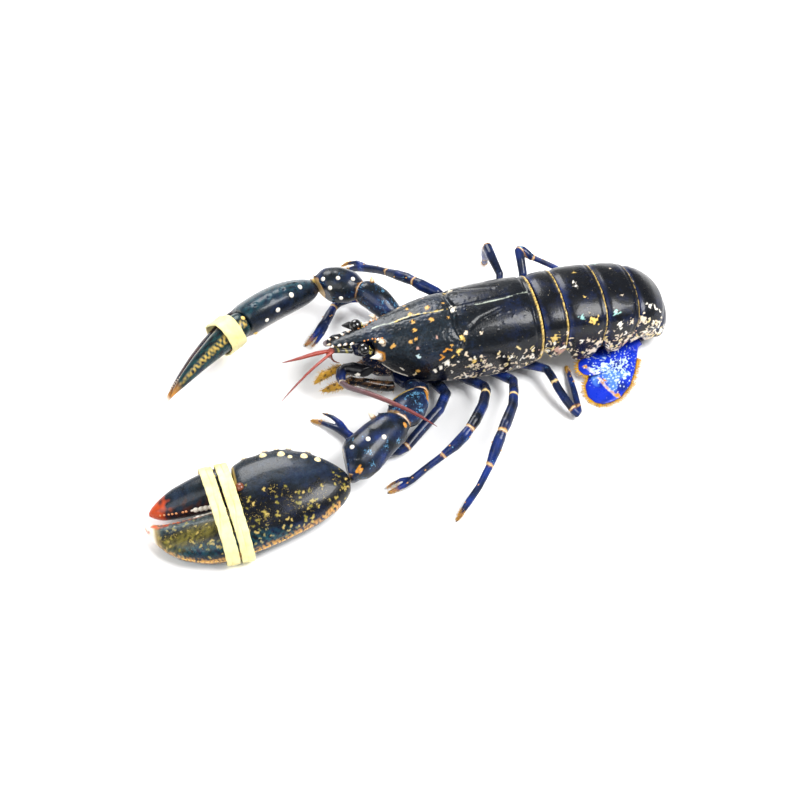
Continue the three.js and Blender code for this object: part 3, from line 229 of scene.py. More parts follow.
class Finish:
    """A material that is put together from fields."""

    def __init__(self, name, **constants):
        self.material = bpy.data.materials.new(name)
        self.material.use_nodes = True
        self.nodes = self.material.node_tree.nodes
        self.links = self.material.node_tree.links
        self.shader = self.nodes["Principled BSDF"]
        for socket, value in constants.items():
            self.shader.inputs[socket.replace("_", " ")].default_value = value

    def feed(self, socket, value):
        if isinstance(value, Field):
            self.links.new(value.socket, socket)
        elif isinstance(value, tuple) and len(value) == 3 and socket.type == "RGBA":
            socket.default_value = (*value, 1)
        else:
            socket.default_value = value

    def node(self, kind, settings, inputs, output=0):
        made = self.nodes.new("ShaderNode" + kind)
        for name, value in settings.items():
            setattr(made, name, value)
        for key, value in inputs.items():
            self.feed(made.inputs[key], value)
        return Field(self, made.outputs[output])

    def set(self, **fields):
        for socket, value in fields.items():
            self.feed(self.shader.inputs[socket.replace("_", " ")], value)

    def here(self):
        """The place on the object, in metres."""
        return self.node("TexCoord", {}, {}, "Object")

    def attribute(self, name, output="Fac"):
        return self.node("Attribute", {"attribute_name": name}, {}, output)

    def noise(self, size, detail=3.0, rough=0.55, warp=0.0):
        """Soft cloudy noise whose clouds are about `size` millimetres across."""
        inputs = {"Vector": self.here(), "Scale": 1 / (size * MM), "Detail": detail}
        inputs.update({"Roughness": rough, "Distortion": warp})
        return self.node("TexNoise", {}, inputs, "Fac")

    def cells(self, size, feature="F1"):
        """Cells about `size` millimetres across; the distance is 0 at a cell's heart."""
        inputs = {"Vector": self.here(), "Scale": 1 / (size * MM)}
        return self.node("TexVoronoi", {"feature": feature}, inputs, "Distance")

    def mix(self, share, first, second):
        """A colour between two colours."""
        return self.node("Mix", {"data_type": "RGBA"}, {0: share, 6: first, 7: second}, 2)

    def relief(self, height, depth):
        """A normal for the shader from a height field; depth is in millimetres."""
        return self.node("Bump", {}, {"Height": height, "Distance": depth * MM, "Strength": 1.0})


# %% The paper
paper = Finish("floor_paper", Roughness=0.9)
paper_clouds = paper.noise(180, 2).step(0.3, 0.7)
paper.set(Base_Color=paper.mix(paper_clouds, (0.9, 0.9, 0.9), (0.93, 0.93, 0.93)))
floor.data.materials.append(paper.material)

# %% [markdown]
# The solids have few faces, and their long thin triangles would show as facets. A voxel remesh turns
# a merged copy into an even mesh, and a light smoothing rounds it as a grown shell is rounded. The
# even mesh also carries what is painted and pressed into it later, point by point.

# %% Noise and humps over points
RUFFLE_WAVES = 7
RUFFLE_PEAK = 3.2  # a sum of that many waves seldom passes this


def bounded(values):
    """Values held between 0 and 1."""
    return np.clip(values, 0, 1)


def ruffle(points, size, seed=0):
    """Smooth noise from -1 to 1 with waves about `size` millimetres long, made of crossed sine waves."""
    draw = np.random.default_rng(seed + 71)
    total = np.zeros(len(points))
    for _ in range(RUFFLE_WAVES):
        direction = draw.normal(size=3)
        direction *= 2 * math.pi / (size * MM) / np.linalg.norm(direction) * draw.uniform(0.7, 1.5)
        total += np.sin(points @ direction + draw.uniform(0, 2 * math.pi))
    return np.clip(total / RUFFLE_PEAK, -1, 1)


def hump(distance, radius):
    """1 at distance 0 and 0 past the radius on both sides, with a round shoulder."""
    share = bounded(np.abs(distance) / radius)
    return (1 - share * share) ** 2


# %% Copies of the solids
def merged_copy(nodes, name):
    """One object from copies of CAD nodes, with their doubled points merged."""
    copies = []
    for node in nodes:
        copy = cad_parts[node].copy()
        copy.data = copy.data.copy()
        copy.parent = None
        for key in list(copy.keys()):
            del copy[key]
        bpy.context.scene.collection.objects.link(copy)
        copies.append(copy)
    only(copies[0])
    for copy in copies[1:]:
        copy.select_set(True)
    if len(copies) > 1:
        bpy.ops.object.join()
    merged = bpy.context.active_object
    merged.name = name
    merged.data.materials.clear()
    return in_edit_mode(merged, (bpy.ops.mesh.remove_doubles, {"threshold": 1e-6}))


def points_of(obj):
    points = np.empty(len(obj.data.vertices) * 3)
    obj.data.vertices.foreach_get("co", points)
    return points.reshape(-1, 3)


def tree_of(points, mesh):
    """A search tree of a mesh's faces, with its points at these places."""
    return BVHTree.FromPolygons([tuple(p) for p in points], [tuple(f.vertices) for f in mesh.polygons])


# %% [markdown]
# A Plate is one shell piece of the animal. It holds its points and normals as arrays, so that a groove
# or a rim is one sum over all of them, and so are the painted values. Sculpting by hand would be the
# other way; arrays give the same plate each time and let a mark be put by its place in the picture.

# %% A plate
MOULD_REACH = 1.6
MOULD_SNUG = 0.6
SIGHT_WIDTH = 0.4
WORM_RADII = (0.38, 0.68)


class Plate:
    """A smooth, dense copy of CAD nodes, with its points and what is painted on them as arrays."""

    def __init__(self, *nodes, grain=0.6, spread=2.5, limit=0.5, mould=None):
        self.nodes = nodes
        self.grain = grain
        self.obj = merged_copy(nodes, nodes[0] + "_shell")
        apply(self.obj, "REMESH", mode="VOXEL", voxel_size=grain * MM, use_smooth_shade=True)
        self.read()
        self.relax(spread, limit)
        if mould is not None:
            self.fit(mould)
        apply(self.obj, "SMOOTH", factor=0.5, iterations=3)
        self.read()
        self.values = {}
        self.value("mark", 4)

    def put(self, points):
        """Takes new places for the points, none of them below the floor."""
        points[:, 2] = np.maximum(points[:, 2], 0)
        self.obj.data.vertices.foreach_set("co", points.ravel())
        self.obj.data.update()

    def relax(self, spread, limit):
        """Smooths over `spread` millimetres, but moves no point further than `limit` millimetres.

        Smoothing once more and adding back what that takes away keeps the plate from shrinking.
        """
        start = self.points
        rounds = int((2 * spread / self.grain) ** 2)
        apply(self.obj, "SMOOTH", factor=1.0, iterations=rounds)
        once = points_of(self.obj)
        apply(self.obj, "SMOOTH", factor=1.0, iterations=rounds)
        offset = 2 * once - points_of(self.obj) - start
        length = np.linalg.norm(offset, axis=1)[:, None] / MM + 1e-9
        self.put(start + offset * np.tanh(length / limit) * limit / length)
        self.read()

    def fit(self, mould):
        """Lays the outer side of the plate on a smooth mould of the whole body."""
        points = self.points.copy()
        for k, point in enumerate(self.points):
            found, normal, _, distance = mould.find_nearest(Vector(point), MOULD_REACH * MM)
            if found is not None and normal.dot(Vector(self.normals[k])) > 0.6:
                pull = hump(max(distance / MM - MOULD_SNUG, 0), MOULD_REACH - MOULD_SNUG)
                points[k] += (np.array(found) - point) * pull
        self.put(points)
        self.read()

    def read(self):
        """Takes points, normals and search tree from the mesh."""
        mesh = self.obj.data
        self.points = points_of(self.obj)
        self.normals = np.empty(self.points.size)
        mesh.vertex_normals.foreach_get("vector", self.normals)
        self.normals = self.normals.reshape(-1, 3)
        self.tree = tree_of(self.points, mesh)

    def local(self):
        """Millimetres from the landmark, for every point."""
        return (self.points - LANDMARK) / MM

    def move(self, offset):
        """Moves every point along its normal by its own offset in millimetres."""
        self.put(self.points + self.normals * (np.asarray(offset) * MM)[:, None])
        self.read()

    def seen(self, px, py):
        """The point of this plate behind a picture point, or the nearest one to that line of sight."""
        line = sight(px, py)
        hit = self.tree.ray_cast(Vector(eye_point), Vector(line))
        if hit[0] is not None:
            return np.array(hit[0])
        away = self.points - eye_point
        off = np.linalg.norm(away - np.outer(away @ line, line), axis=1)
        close = np.flatnonzero(off < off.min() + SIGHT_WIDTH * MM)
        return self.points[close[np.argmin(away[close] @ line)]]

    def surface(self, point):
        """The nearest point of the plate and the direction out of it."""
        found, normal, _, _ = self.tree.find_nearest(Vector(point))
        return np.array(found), np.array(normal)

    def value(self, name, width=1):
        """The painted values of this name, which start at 0."""
        if name not in self.values:
            shape = (len(self.points), width) if width > 1 else len(self.points)
            self.values[name] = np.zeros(shape)
        return self.values[name]

    def tint(self, **amounts):
        """Sets painted values, such as blue, flecks and haze, each with a number or an array."""
        for name, amount in amounts.items():
            self.value(name)[:] = amount

    def cover(self, share, colour, among=slice(None)):
        """Paints a colour over the shell, or over some of its points, where share is 1."""
        mark = self.value("mark", 4)
        share = bounded(share)
        old = mark[among, 3]
        new = 1 - (1 - old) * (1 - share)
        safe = np.maximum(new, 1e-6)
        for k in range(3):
            mark[among, k] = (colour[k] * share + mark[among, k] * old * (1 - share)) / safe
        mark[among, 3] = new

    def within(self, path, reach):
        """The points in a box that lies reach millimetres round a path."""
        low, high = np.min(path, axis=0) - reach * MM, np.max(path, axis=0) + reach * MM
        return np.nonzero(np.all((self.points > low) & (self.points < high), axis=1))[0]

    def away(self, point):
        """Distance of every point from one place, in millimetres."""
        return np.linalg.norm(self.points - np.asarray(point), axis=1) / MM

    def from_path(self, path, among=slice(None)):
        """Distance of points from a line of places, in millimetres."""
        points = self.points[among]
        nearest = np.full(len(points), 1e9)
        path = [np.asarray(p) for p in path]
        for a, b in zip(path, path[1:]):
            leg = b - a
            share = bounded((points - a) @ leg / max(leg @ leg, 1e-12))
            distance = np.linalg.norm(points - a - share[:, None] * leg, axis=1) / MM
            nearest = np.minimum(nearest, distance)
        return nearest

    def fleck(self, point, radius, colour, ragged=0.25, seed=0):
        """A spot with an uneven edge."""
        edge = 1 + 0.85 * min(ragged, 1) * ruffle(self.points, radius * 1.6, seed)
        self.cover(bounded((radius - self.away(point) * edge) / (radius * 0.35) + 0.5), colour)

    def stripe(self, path, radius, colour, broken=0.0, seed=0):
        """A line along a path, which fades in and out where broken is above 0."""
        near = self.within(path, radius * 2)
        points = self.points[near]
        distance = self.from_path(path, near)
        distance = distance * (1 + 0.3 * ruffle(points, radius * 3, seed))
        share = bounded((radius - distance) / (radius * 0.5) + 0.5)
        gaps = bounded(1.2 - broken * (1 + ruffle(points, 5, seed + 3)))
        self.cover(share * gaps, colour, near)

    def worms(self, share, count, length, colours, seed=0):
        """Short bent flecks in the surface, a share of them at each point; length in millimetres."""
        draw = random.Random(seed)
        odds = np.cumsum(np.clip(share, 0, None))
        for k in range(count):
            pick = int(np.searchsorted(odds, draw.random() * odds[-1]))
            out = self.normals[pick]
            turn = draw.uniform(0, 2 * math.pi)
            first = np.cross(out, (math.cos(turn), math.sin(turn), 0.3))
            first /= np.linalg.norm(first)
            half = length * draw.uniform(0.2, 0.65) * MM
            bend = np.cross(out, first) * draw.uniform(-0.9, 0.9) * half
            middle = self.points[pick]
            path = [middle - first * half, middle + bend, middle + first * half]
            self.stripe(path, draw.uniform(*WORM_RADII), draw.choice(colours), seed=seed + k)

    def write(self, finish, slot):
        """Stores the painted values, gives the finish, and stands the plate in for its nodes."""
        mesh = self.obj.data
        self.values["marked"] = self.values["mark"][:, 3].copy()
        for name, values in self.values.items():
            kind = "FLOAT_COLOR" if values.ndim == 2 else "FLOAT"
            layer = mesh.attributes.new(name, kind, "POINT")
            layer.data.foreach_set("color" if values.ndim == 2 else "value", values.ravel())
        mesh.materials.append(finish.material)
        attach(self.obj, "root")
        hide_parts(*self.nodes)
        print(self.obj.name, len(mesh.polygons) * 2, "triangles")
        return self.obj


# %% [markdown]
# The shell's own colour is a blue-black that clears to navy and cobalt on the legs and the thinner
# edges. Cream pigment breaks through in ragged flecks a millimetre or two wide. Painted values steer
# it: `blue` runs from black to cobalt, `haze` adds the slate bloom of the grained parts, `flecks` says
# how much cream shows, and `mark` holds single painted marks. Fine grains and pits catch the light,
# and specks under a millimetre lie between the flecks.

# %% The shell finish
INK = (0.0016, 0.0018, 0.0035)
NAVY = (0.005, 0.013, 0.06)
COBALT = (0.006, 0.03, 0.24)
SLATE = (0.026, 0.045, 0.062)
TEAL = (0.012, 0.085, 0.11)
CREAM = (0.72, 0.6, 0.45)
ROSE = (0.5, 0.3, 0.24)
AMBER = (0.6, 0.25, 0.03)
EMBER = (0.55, 0.07, 0.015)
STRAW = (0.72, 0.5, 0.14)
OLIVE = (0.2, 0.17, 0.03)
BONE = (0.85, 0.8, 0.7)


def shell_finish(
    name, light, warm=ROSE, fleck=1.7, patchy=0.7, grain=1.0, relief=0.12, gloss=0.25, bright=COBALT
):
    """The lobster's shell; fleck and grain are the sizes of the flecks and the grains in millimetres."""
    finish = Finish(name, Coat_Roughness=0.1, Specular_IOR_Level=0.2)
    blue = finish.attribute("blue")
    haze = finish.attribute("haze")
    flecks = finish.attribute("flecks")
    mark = finish.attribute("mark", "Color")
    marked = finish.attribute("marked")
    clouds = finish.noise(20, 4, 0.6)
    mist = finish.noise(4, 5, 0.7)
    depth = (blue + (clouds - 0.5) * 0.6 + (mist - 0.5) * 0.7).clamp()
    colour = finish.mix(depth.step(0.08, 0.5), INK, NAVY)
    colour = finish.mix(depth.step(0.45, 0.95), colour, bright)
    grains = finish.cells(grain, "SMOOTH_F1")
    bloom = (haze * (1.15 - grains * 1.3) * mist.step(0.2, 0.75)).clamp()
    colour = finish.mix(bloom, colour, SLATE)
    patches = finish.noise(fleck * 5, 3, 0.6)
    small = finish.noise(fleck, 2, 0.55, warp=1.1)
    shown = small + (patches - 0.5) * patchy + (flecks - 1) * 0.5
    cream = finish.mix(patches.step(0.42, 0.62), warm, light)
    colour = finish.mix(shown.step(0.6, 0.65), colour, cream)
    dust = finish.noise(0.8, 1, 0.5).step(0.74, 0.8) * flecks.step(0.15, 0.6) * 0.55
    colour = finish.mix(dust, colour, light)
    colour = finish.mix(marked, colour, mark)
    pits = finish.noise(grain * 0.5, 3, 0.6)
    dry = finish.noise(9, 3, 0.6)
    finish.set(
        Base_Color=colour,
        Roughness=gloss + (dry - 0.5) * 0.2 + grains * 0.12,
        Coat_Weight=0.06 + dry * 0.22,
        Normal=finish.relief((1 - grains) * 0.7 + pits * 0.4, relief),
    )
    return finish


# %% The finishes of back, claws and limbs
SAND = (0.7, 0.6, 0.42)
MUSTARD = (0.3, 0.22, 0.06)
PEAT = (0.08, 0.06, 0.012)
STEEL = (0.1, 0.26, 0.42)
DEEP_BLUE = (0.02, 0.08, 0.26)
back_shell = shell_finish("back_shell", light=SAND, fleck=2.3, patchy=0.38, grain=0.9, relief=0.11)
claw_shell = shell_finish(
    "claw_shell", light=MUSTARD, warm=PEAT, fleck=1.3, patchy=0.35, grain=0.75, gloss=0.24
)
limb_shell = shell_finish("limb_shell", light=CREAM, warm=AMBER, fleck=1.2, grain=0.7, relief=0.07)
leg_shell = shell_finish("leg_shell", light=STEEL, warm=DEEP_BLUE, fleck=1.3, grain=0.7, relief=0.07)

# %% [markdown]
# The carapace and the ring plates of the tail make one smooth hull in life. A mould of that hull is
# made from all of them together, and each plate is laid on it, so the light runs over the whole back.

# %% The mould of the back
BODY = ["carapace"] + [f"abdomen_{k}" for k in range(1, 7)]
MOULD_ROUNDS = 22
body_form = merged_copy(BODY, "body_form")
apply(body_form, "REMESH", mode="VOXEL", voxel_size=1.1 * MM)
apply(body_form, "SMOOTH", factor=1.0, iterations=MOULD_ROUNDS)
once = points_of(body_form)
apply(body_form, "SMOOTH", factor=1.0, iterations=MOULD_ROUNDS)
body_mould = tree_of(2 * once - points_of(body_form), body_form.data)
print("mould of the back", len(once), "points")
bpy.data.objects.remove(body_form)


# %% [markdown]
# Two more helpers. A shell is nearly the same on both sides, so a mark on the near side has a twin on
# the far one. And the rims of a plate follow its neighbours, so they are found from the gap to them.

# %% Neighbours and mirror images
def mirrored(path):
    """The same places on the animal's other side."""
    return [np.array([p[0], 2 * LANDMARK[1] - p[1], p[2]]) for p in path]


def fleck_pair(plate, spot, radius, colour, ragged, seed):
    """The same fleck on both sides of the animal."""
    for k, point in enumerate([spot, *mirrored([spot])]):
        plate.fleck(point, radius, colour, ragged=ragged, seed=seed + k)


def node_tree(node):
    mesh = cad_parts[node].data
    return tree_of([v.co for v in mesh.vertices], mesh)


def gap_to(plate, node, reach):
    """Distance in millimetres of every point of a plate from another node, up to reach."""
    tree = node_tree(node)
    gaps = np.full(len(plate.points), float(reach))
    for k, point in enumerate(plate.points):
        found = tree.find_nearest(Vector(point), reach * MM)
        if found[0] is not None:
            gaps[k] = found[3] / MM
    return gaps


# %% [markdown]
# The carapace is the largest plate. A deep groove crosses its side behind the cheek, a fine line runs
# along the back, and its rear edge has a smooth rim. The front half is grained like shagreen.

# %% The carapace
carapace = Plate("carapace", grain=0.62, spread=1.6, mould=body_mould)
NECK_GROOVE = [
    (453, 309), (455, 325), (459, 333), (463, 338), (462, 345), (459, 351), (447, 363), (435, 371),
]
BRANCH_GROOVE = [(459, 333), (469, 329), (480, 318), (500, 308)]
CHEEK_GROOVE = [(463, 341), (452, 346), (440, 349), (428, 352)]
grooves = []
for path, depth, width in ((NECK_GROOVE, 1.2, 2.3), (BRANCH_GROOVE, 0.45, 2.2), (CHEEK_GROOVE, 0.5, 2.0)):
    near = [carapace.seen(*p) for p in path]
    grooves.append(near)
    for line in (near, mirrored(near)):
        distance = carapace.from_path(line)
        carapace.move(-depth * hump(distance, width))
local = carapace.local()
seam = np.abs(local[:, 1] + 0.2 * np.sin(local[:, 0] / 7))
on_top = bounded((carapace.normals[:, 2] - 0.6) * 4)
carapace.move(-0.3 * hump(seam, 0.9) * on_top * bounded((92 - local[:, 0]) / 6))
rim = hump(local[:, 0] - 1.2, 1.6) * 0.35 - hump(local[:, 0] - 4.4, 1.5) * 0.5
carapace.move(rim)


# %% [markdown]
# The front of the shell is grained: some thousands of low round grains, close together before the neck
# groove and scarce behind it. A bump pattern alone would leave the outline smooth, so they are raised
# in the mesh, at random points.

# %% Grains on the front of the carapace
def grains(plate, share, count, radius, height, seed=0):
    """Raises round grains at random points of a plate, more of them where share is near 1."""
    draw = np.random.default_rng(seed + 5)
    order = draw.permutation(len(plate.points))
    chosen = order[draw.random(len(order)) < share[order]][:count]
    centres = KDTree(len(chosen))
    for k, index in enumerate(chosen):
        centres.insert(Vector(plate.points[index]), k)
    centres.balance()
    sizes = draw.uniform(0.5, 1.2, len(chosen))
    offset = np.zeros(len(plate.points))
    for k, point in enumerate(plate.points):
        _, index, distance = centres.find(Vector(point))
        offset[k] = sizes[index] * max(0.0, 1 - (distance / MM / radius) ** 2)
    plate.move(offset * height)


local = carapace.local()
front = np.clip((local[:, 0] - 40) / 30, 0.06, 1) * np.clip((local[:, 2] - 22) / 8, 0.2, 1)
GRAIN_COUNT = 2600
grains(carapace, front, GRAIN_COUNT, radius=1.0, height=0.2)
print("grains on the carapace", GRAIN_COUNT)

# %% [markdown]
# The cream flecks crowd on the lower flank and thin out upwards. Those are worm-shaped strokes at random
# places. Larger marks that tell this animal from another are put one by one, where the picture has
# them: the pale line and star on the back, orange spots before the neck groove, cream ones along it.

# %% Ground colour and flecks of the carapace
local = carapace.local()
low = bounded((45 - local[:, 2]) / 15)
rear = bounded((70 - local[:, 0]) / 25)
shown = 0.44 + 0.42 * low * rear + 0.2 * low + 0.2 * ruffle(carapace.points, 16)
bloom_share = np.clip((local[:, 0] - 30) / 35, 0.25, 1) * bounded((local[:, 2] - 30) / 14)
carapace.tint(
    flecks=bounded(shown),
    blue=bounded(0.06 + 0.1 * ruffle(carapace.points, 30, 4)),
    haze=bounded(bloom_share * 0.85),
)
PALE = (CREAM, CREAM, BONE, (0.72, 0.58, 0.28))
FLANK_WORMS = 420
carapace.worms((low * (0.2 + 0.8 * rear)) ** 1.5, FLANK_WORMS, 2.6, PALE, seed=21)

# %% Line and spots of the carapace
BACK_LINE = [
    (372, 328.5), (381, 325), (391, 323), (411, 315.5), (439, 311),
    (453, 309.5), (479, 304), (505, 298), (527, 292),
]
back_line = [carapace.seen(*p) for p in BACK_LINE]
carapace.stripe(back_line, 0.45, (0.45, 0.5, 0.42), broken=0.35)
carapace.stripe(back_line[2:6], 0.7, STRAW, broken=0.75, seed=2)
ORANGE = (0.6, 0.33, 0.08)
ORANGE_FLECKS = [
    (410, 314, 1.8), (427, 307, 1.7), (431, 319, 1.7), (412, 321, 1.2),
    (415, 330, 1.6), (443, 303, 1.0), (411, 342, 1.5), (416, 339, 1.2),
    (393, 346, 1.7), (418, 371, 1.8), (375, 341.5, 0.9), (452, 345, 1.1),
]
PALE_FLECKS = [
    (453, 309.5, 1.9, BONE), (419, 357, 1.5, (0.5, 0.66, 0.68)), (418, 348, 1.0, ROSE),
    (437, 337, 0.8, ROSE), (462, 338, 2.0, STRAW), (466, 333, 1.6, CREAM),
    (459, 351, 1.7, STRAW), (447, 363, 2.2, BONE), (441, 367, 1.6, BONE),
    (435, 370, 1.5, BONE), (475, 361, 1.6, STRAW), (481, 333, 1.0, CREAM),
]
for px, py, size in ORANGE_FLECKS:
    fleck_pair(carapace, carapace.seen(px, py), size * 0.72, ORANGE, 0.5, px)
for px, py, size, colour in PALE_FLECKS:
    fleck_pair(carapace, carapace.seen(px, py), size * 0.85, colour, 0.55, px)

# %% Edges and grooves of the carapace
for line in (grooves[0], mirrored(grooves[0])):
    carapace.stripe(line[:4], 0.5, TEAL, broken=0.2, seed=8)
    carapace.stripe(line[3:], 0.6, STRAW, broken=0.8, seed=9)
SQUIGGLE = [[(452, 350), (447, 349), (444, 352)], [(441, 355), (444, 357), (440, 360)]]
for path in SQUIGGLE:
    line = [carapace.seen(*p) for p in path]
    for side in (line, mirrored(line)):
        carapace.stripe(side, 0.55, AMBER, broken=0.2, seed=4)
rear_ticks = bounded(0.75 + 0.6 * ruffle(carapace.points, 2.4, 2))
carapace.cover(hump(local[:, 0] - 0.8, 1.5) * rear_ticks, STRAW)
lower_ticks = bounded(0.45 + 0.9 * ruffle(carapace.points, 5, 6))
carapace.cover(hump(local[:, 2] - 15.4, 1.9) * lower_ticks, BONE)
FRONT_EDGE = [(379, 372), (391, 378), (405, 382)]
front_edge = [carapace.seen(*p) for p in FRONT_EDGE]
for side in (front_edge, mirrored(front_edge)):
    carapace.stripe(side, 0.9, BONE, broken=0.2, seed=5)
cheek_spine = place(103.5, 13.6, 39.6)
CHEEK_SHIFT = np.array([1.2, 0.4, 0.2]) * MM
for k, point in enumerate([cheek_spine, *mirrored([cheek_spine])]):
    carapace.fleck(point, 5.0, AMBER, ragged=0.15, seed=k)
    carapace.fleck(point + CHEEK_SHIFT, 3.9, BONE, ragged=0.15, seed=k + 2)
fleck_pair(carapace, place(100, 11, 51), 3.0, CREAM, 0.2, 0)
carapace.write(back_shell, "shell_dark")

# %% [markdown]
# The tail is six ring plates, each sliding under the one before. A plate's front dips under its
# neighbour and its rear edge is a raised rim with a yellow ticked line. Its sides hang down as rounded
# flaps, where the cream flecks run together.

# %% The ring plates of the tail
LAST_RING = 6
RING_WORMS = 70
rings = {}
for k in range(1, LAST_RING + 1):
    ring = Plate(f"abdomen_{k}", grain=0.58 if k < 5 else 0.5, spread=1.2, limit=0.3, mould=body_mould)
    rings[k] = ring
    before = gap_to(ring, f"abdomen_{k - 1}" if k > 1 else "carapace", 5.0)
    after = gap_to(ring, f"abdomen_{k + 1}" if k < LAST_RING else "telson", 5.0)
    outward = bounded(np.abs(ring.normals[:, 1]) + ring.normals[:, 2])
    steps = -0.75 * hump(before, 4.5) - 0.25 * hump(np.abs(after - 3.2), 1.5) + 0.3 * hump(after, 2.2)
    ring.move(steps * outward)
    local = ring.local()
    low = bounded((45 - local[:, 2]) / 17)
    flank = bounded((np.abs(local[:, 1]) - 14) / 10)
    shown = 0.42 + 0.36 * low * flank + 0.22 * (k > 2) * flank + 0.22 * ruffle(ring.points, 12, k)
    tucked = 0.35 * hump(before, 4.9)
    ring.tint(
        flecks=bounded(shown),
        blue=bounded(0.06 + tucked + 0.1 * ruffle(ring.points, 20, k)),
        haze=0.12,
    )
    ring.worms((low * flank) ** 1.2 * (after > 1.8), RING_WORMS, 2.8, PALE, seed=30 + k)
    if k < LAST_RING:
        ticks = bounded(0.7 + 0.7 * ruffle(ring.points, 2.2, k))
        ring.cover(hump(np.maximum(after - 0.9, 0), 1.1) * ticks * (0.95 if k < 3 else 0.6), STRAW)

# %% Single marks on the ring plates
RING_PATCHES = [
    (2, 582, 318, 1.4, (0.25, 0.5, 0.46)), (2, 594, 320, 2.2, STRAW), (2, 592, 351, 2.6, CREAM),
    (2, 598, 343, 2.8, CREAM), (2, 588, 340, 1.6, CREAM), (3, 616, 312, 1.6, (0.3, 0.55, 0.5)),
    (3, 620, 324, 1.8, BONE), (3, 632, 322, 1.4, CREAM), (3, 627, 345, 2.6, ROSE),
    (3, 626, 340, 2.2, CREAM), (3, 618, 352, 2.2, CREAM), (3, 632, 337, 2.0, CREAM),
    (4, 643, 319, 2.4, CREAM), (4, 650, 306, 1.5, BONE), (4, 648, 334, 2.0, CREAM),
    (4, 640, 347, 2.2, CREAM), (1, 562, 351, 3.6, ROSE), (1, 566, 347, 2.2, BONE),
    (1, 555, 338, 2.4, STRAW), (1, 568, 333, 1.4, CREAM), (2, 574, 282, 1.0, BONE),
    (2, 585, 297, 0.9, STRAW), (3, 622, 295, 0.7, CREAM), (4, 632, 283, 0.8, CREAM),
]
for k, px, py, size, colour in RING_PATCHES:
    fleck_pair(rings[k], rings[k].seen(px, py), size * 0.8, colour, 0.75, px)
for ring in rings.values():
    ring.write(back_shell, "shell_dark")

# %% [markdown]
# Head, sternum and jaws lie below the carapace and are seen little or not at all. They get the plain
# flecked shell of the limbs, with more cream on the jaws.

# %% Head, sternum and jaws
for node, grain, flecks in (("head", 0.6, 0.6), ("sternum", 1.0, 0.55), ("jaws", 0.7, 1.0)):
    plate = Plate(node, grain=grain, spread=1.5)
    plate.tint(blue=0.3, flecks=flecks)
    plate.write(limb_shell, "mouthparts" if node == "jaws" else "shell_dark")

# %% [markdown]
# The tail fan lies curled under the body, and one blade shows: the brightest cobalt on the animal,
# marbled with pale blue, with a cream seam across it. The blades are ribbed, and a fringe of stiff
# golden bristles runs round their edges; it is made further on, with the other bristles.

# %% The tail fan
ICE = (0.6, 0.66, 0.75)
SKY_BLUE = (0.1, 0.22, 0.6)
ULTRAMARINE = (0.006, 0.03, 0.5)
RIBS = 46
fan_shell = shell_finish(
    "fan_shell", light=ICE, warm=SKY_BLUE, fleck=2.4, grain=0.6, relief=0.05, bright=ULTRAMARINE
)
fan = {}
for node in ("telson", "tail_fan_left", "tail_fan_right"):
    plate = Plate(node, grain=0.5, spread=1.6, limit=0.3)
    fan[node] = plate
    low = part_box(node)[0]
    root = np.array([low.x, LANDMARK[1], 0.003])
    swing = np.arctan2(plate.points[:, 1] - root[1], plate.points[:, 0] - root[0])
    upper = bounded(plate.normals[:, 2] * 2)
    plate.move(0.13 * np.sin(swing * RIBS) * upper * bounded((plate.away(root) - 12) / 10))
    plate.value("blue")[:] = np.clip(0.95 + 0.3 * ruffle(plate.points, 14, 3), 0.5, 1.3)
    plate.value("flecks")[:] = bounded(0.3 + 0.3 * ruffle(plate.points, 18, 5))

# %% Marbling of the near blade
FAN_SEAM = [(585, 366), (592, 372), (600, 379), (606, 387), (616, 396), (620, 399)]
blade = fan["tail_fan_left"]
seam_line = [blade.seen(*p) for p in FAN_SEAM]
blade.fleck(blade.seen(611, 377), 7.0, (0.07, 0.2, 0.62), ragged=0.6, seed=3)
blade.stripe(seam_line, 1.0, BONE, broken=0.5, seed=1)
blade.stripe(seam_line[2:5], 0.8, (0.55, 0.25, 0.1), broken=0.6, seed=2)
for px, py, size in ((585, 367, 1.4), (604, 380, 1.2), (618, 395, 1.6)):
    blade.fleck(blade.seen(px, py), size, AMBER, ragged=0.5, seed=px)
MARBLES = [
    (596, 371), (604, 364), (612, 362), (620, 367), (624, 360), (608, 370), (617, 380), (625, 375),
]
for px, py in MARBLES:
    blade.fleck(blade.seen(px, py), 1.5, (0.55, 0.7, 0.85), ragged=1.0, seed=px)
for plate in fan.values():
    plate.write(fan_shell, "tail_fan")

# %% [markdown]
# The two claws differ: the left is the crusher, broad and blunt, and the right is the slimmer cutter.
# Both lie turned about their own length, so their markings are placed with distances along the claw,
# across it towards the movable finger, and up through it.

# %% The claws' own directions
CLAWS = {
    "left": {"wrist": (139.8, 85.4, 17.6), "tip": (264, 81, 12.6), "inward": -1, "roll": 7},
    "right": {"wrist": (124.4, -66.8, 27.2), "tip": (238, -11.6, 11), "inward": 1, "roll": 52},
}


def unit(vector):
    return np.asarray(vector) / np.linalg.norm(vector)


class ClawAxes:
    """The directions along a claw, across it and up through it, with distances in millimetres."""

    def __init__(self, wrist, tip, inward, roll):
        self.wrist = place(*wrist)
        self.along = unit(place(*tip) - self.wrist)
        level = unit(np.cross((0, 0, 1), self.along)) * inward
        back = unit(np.cross(self.along, level) * inward)
        turn = math.radians(roll)
        self.across = level * math.cos(turn) + back * math.sin(turn)
        self.upper = back * math.cos(turn) - level * math.sin(turn)

    def read(self, points):
        away = (points - self.wrist) / MM
        return away @ self.along, away @ self.across, away @ self.upper

    def point(self, s, w, n):
        return self.wrist + (self.along * s + self.across * w + self.upper * n) * MM


axes = {side: ClawAxes(**facts) for side, facts in CLAWS.items()}

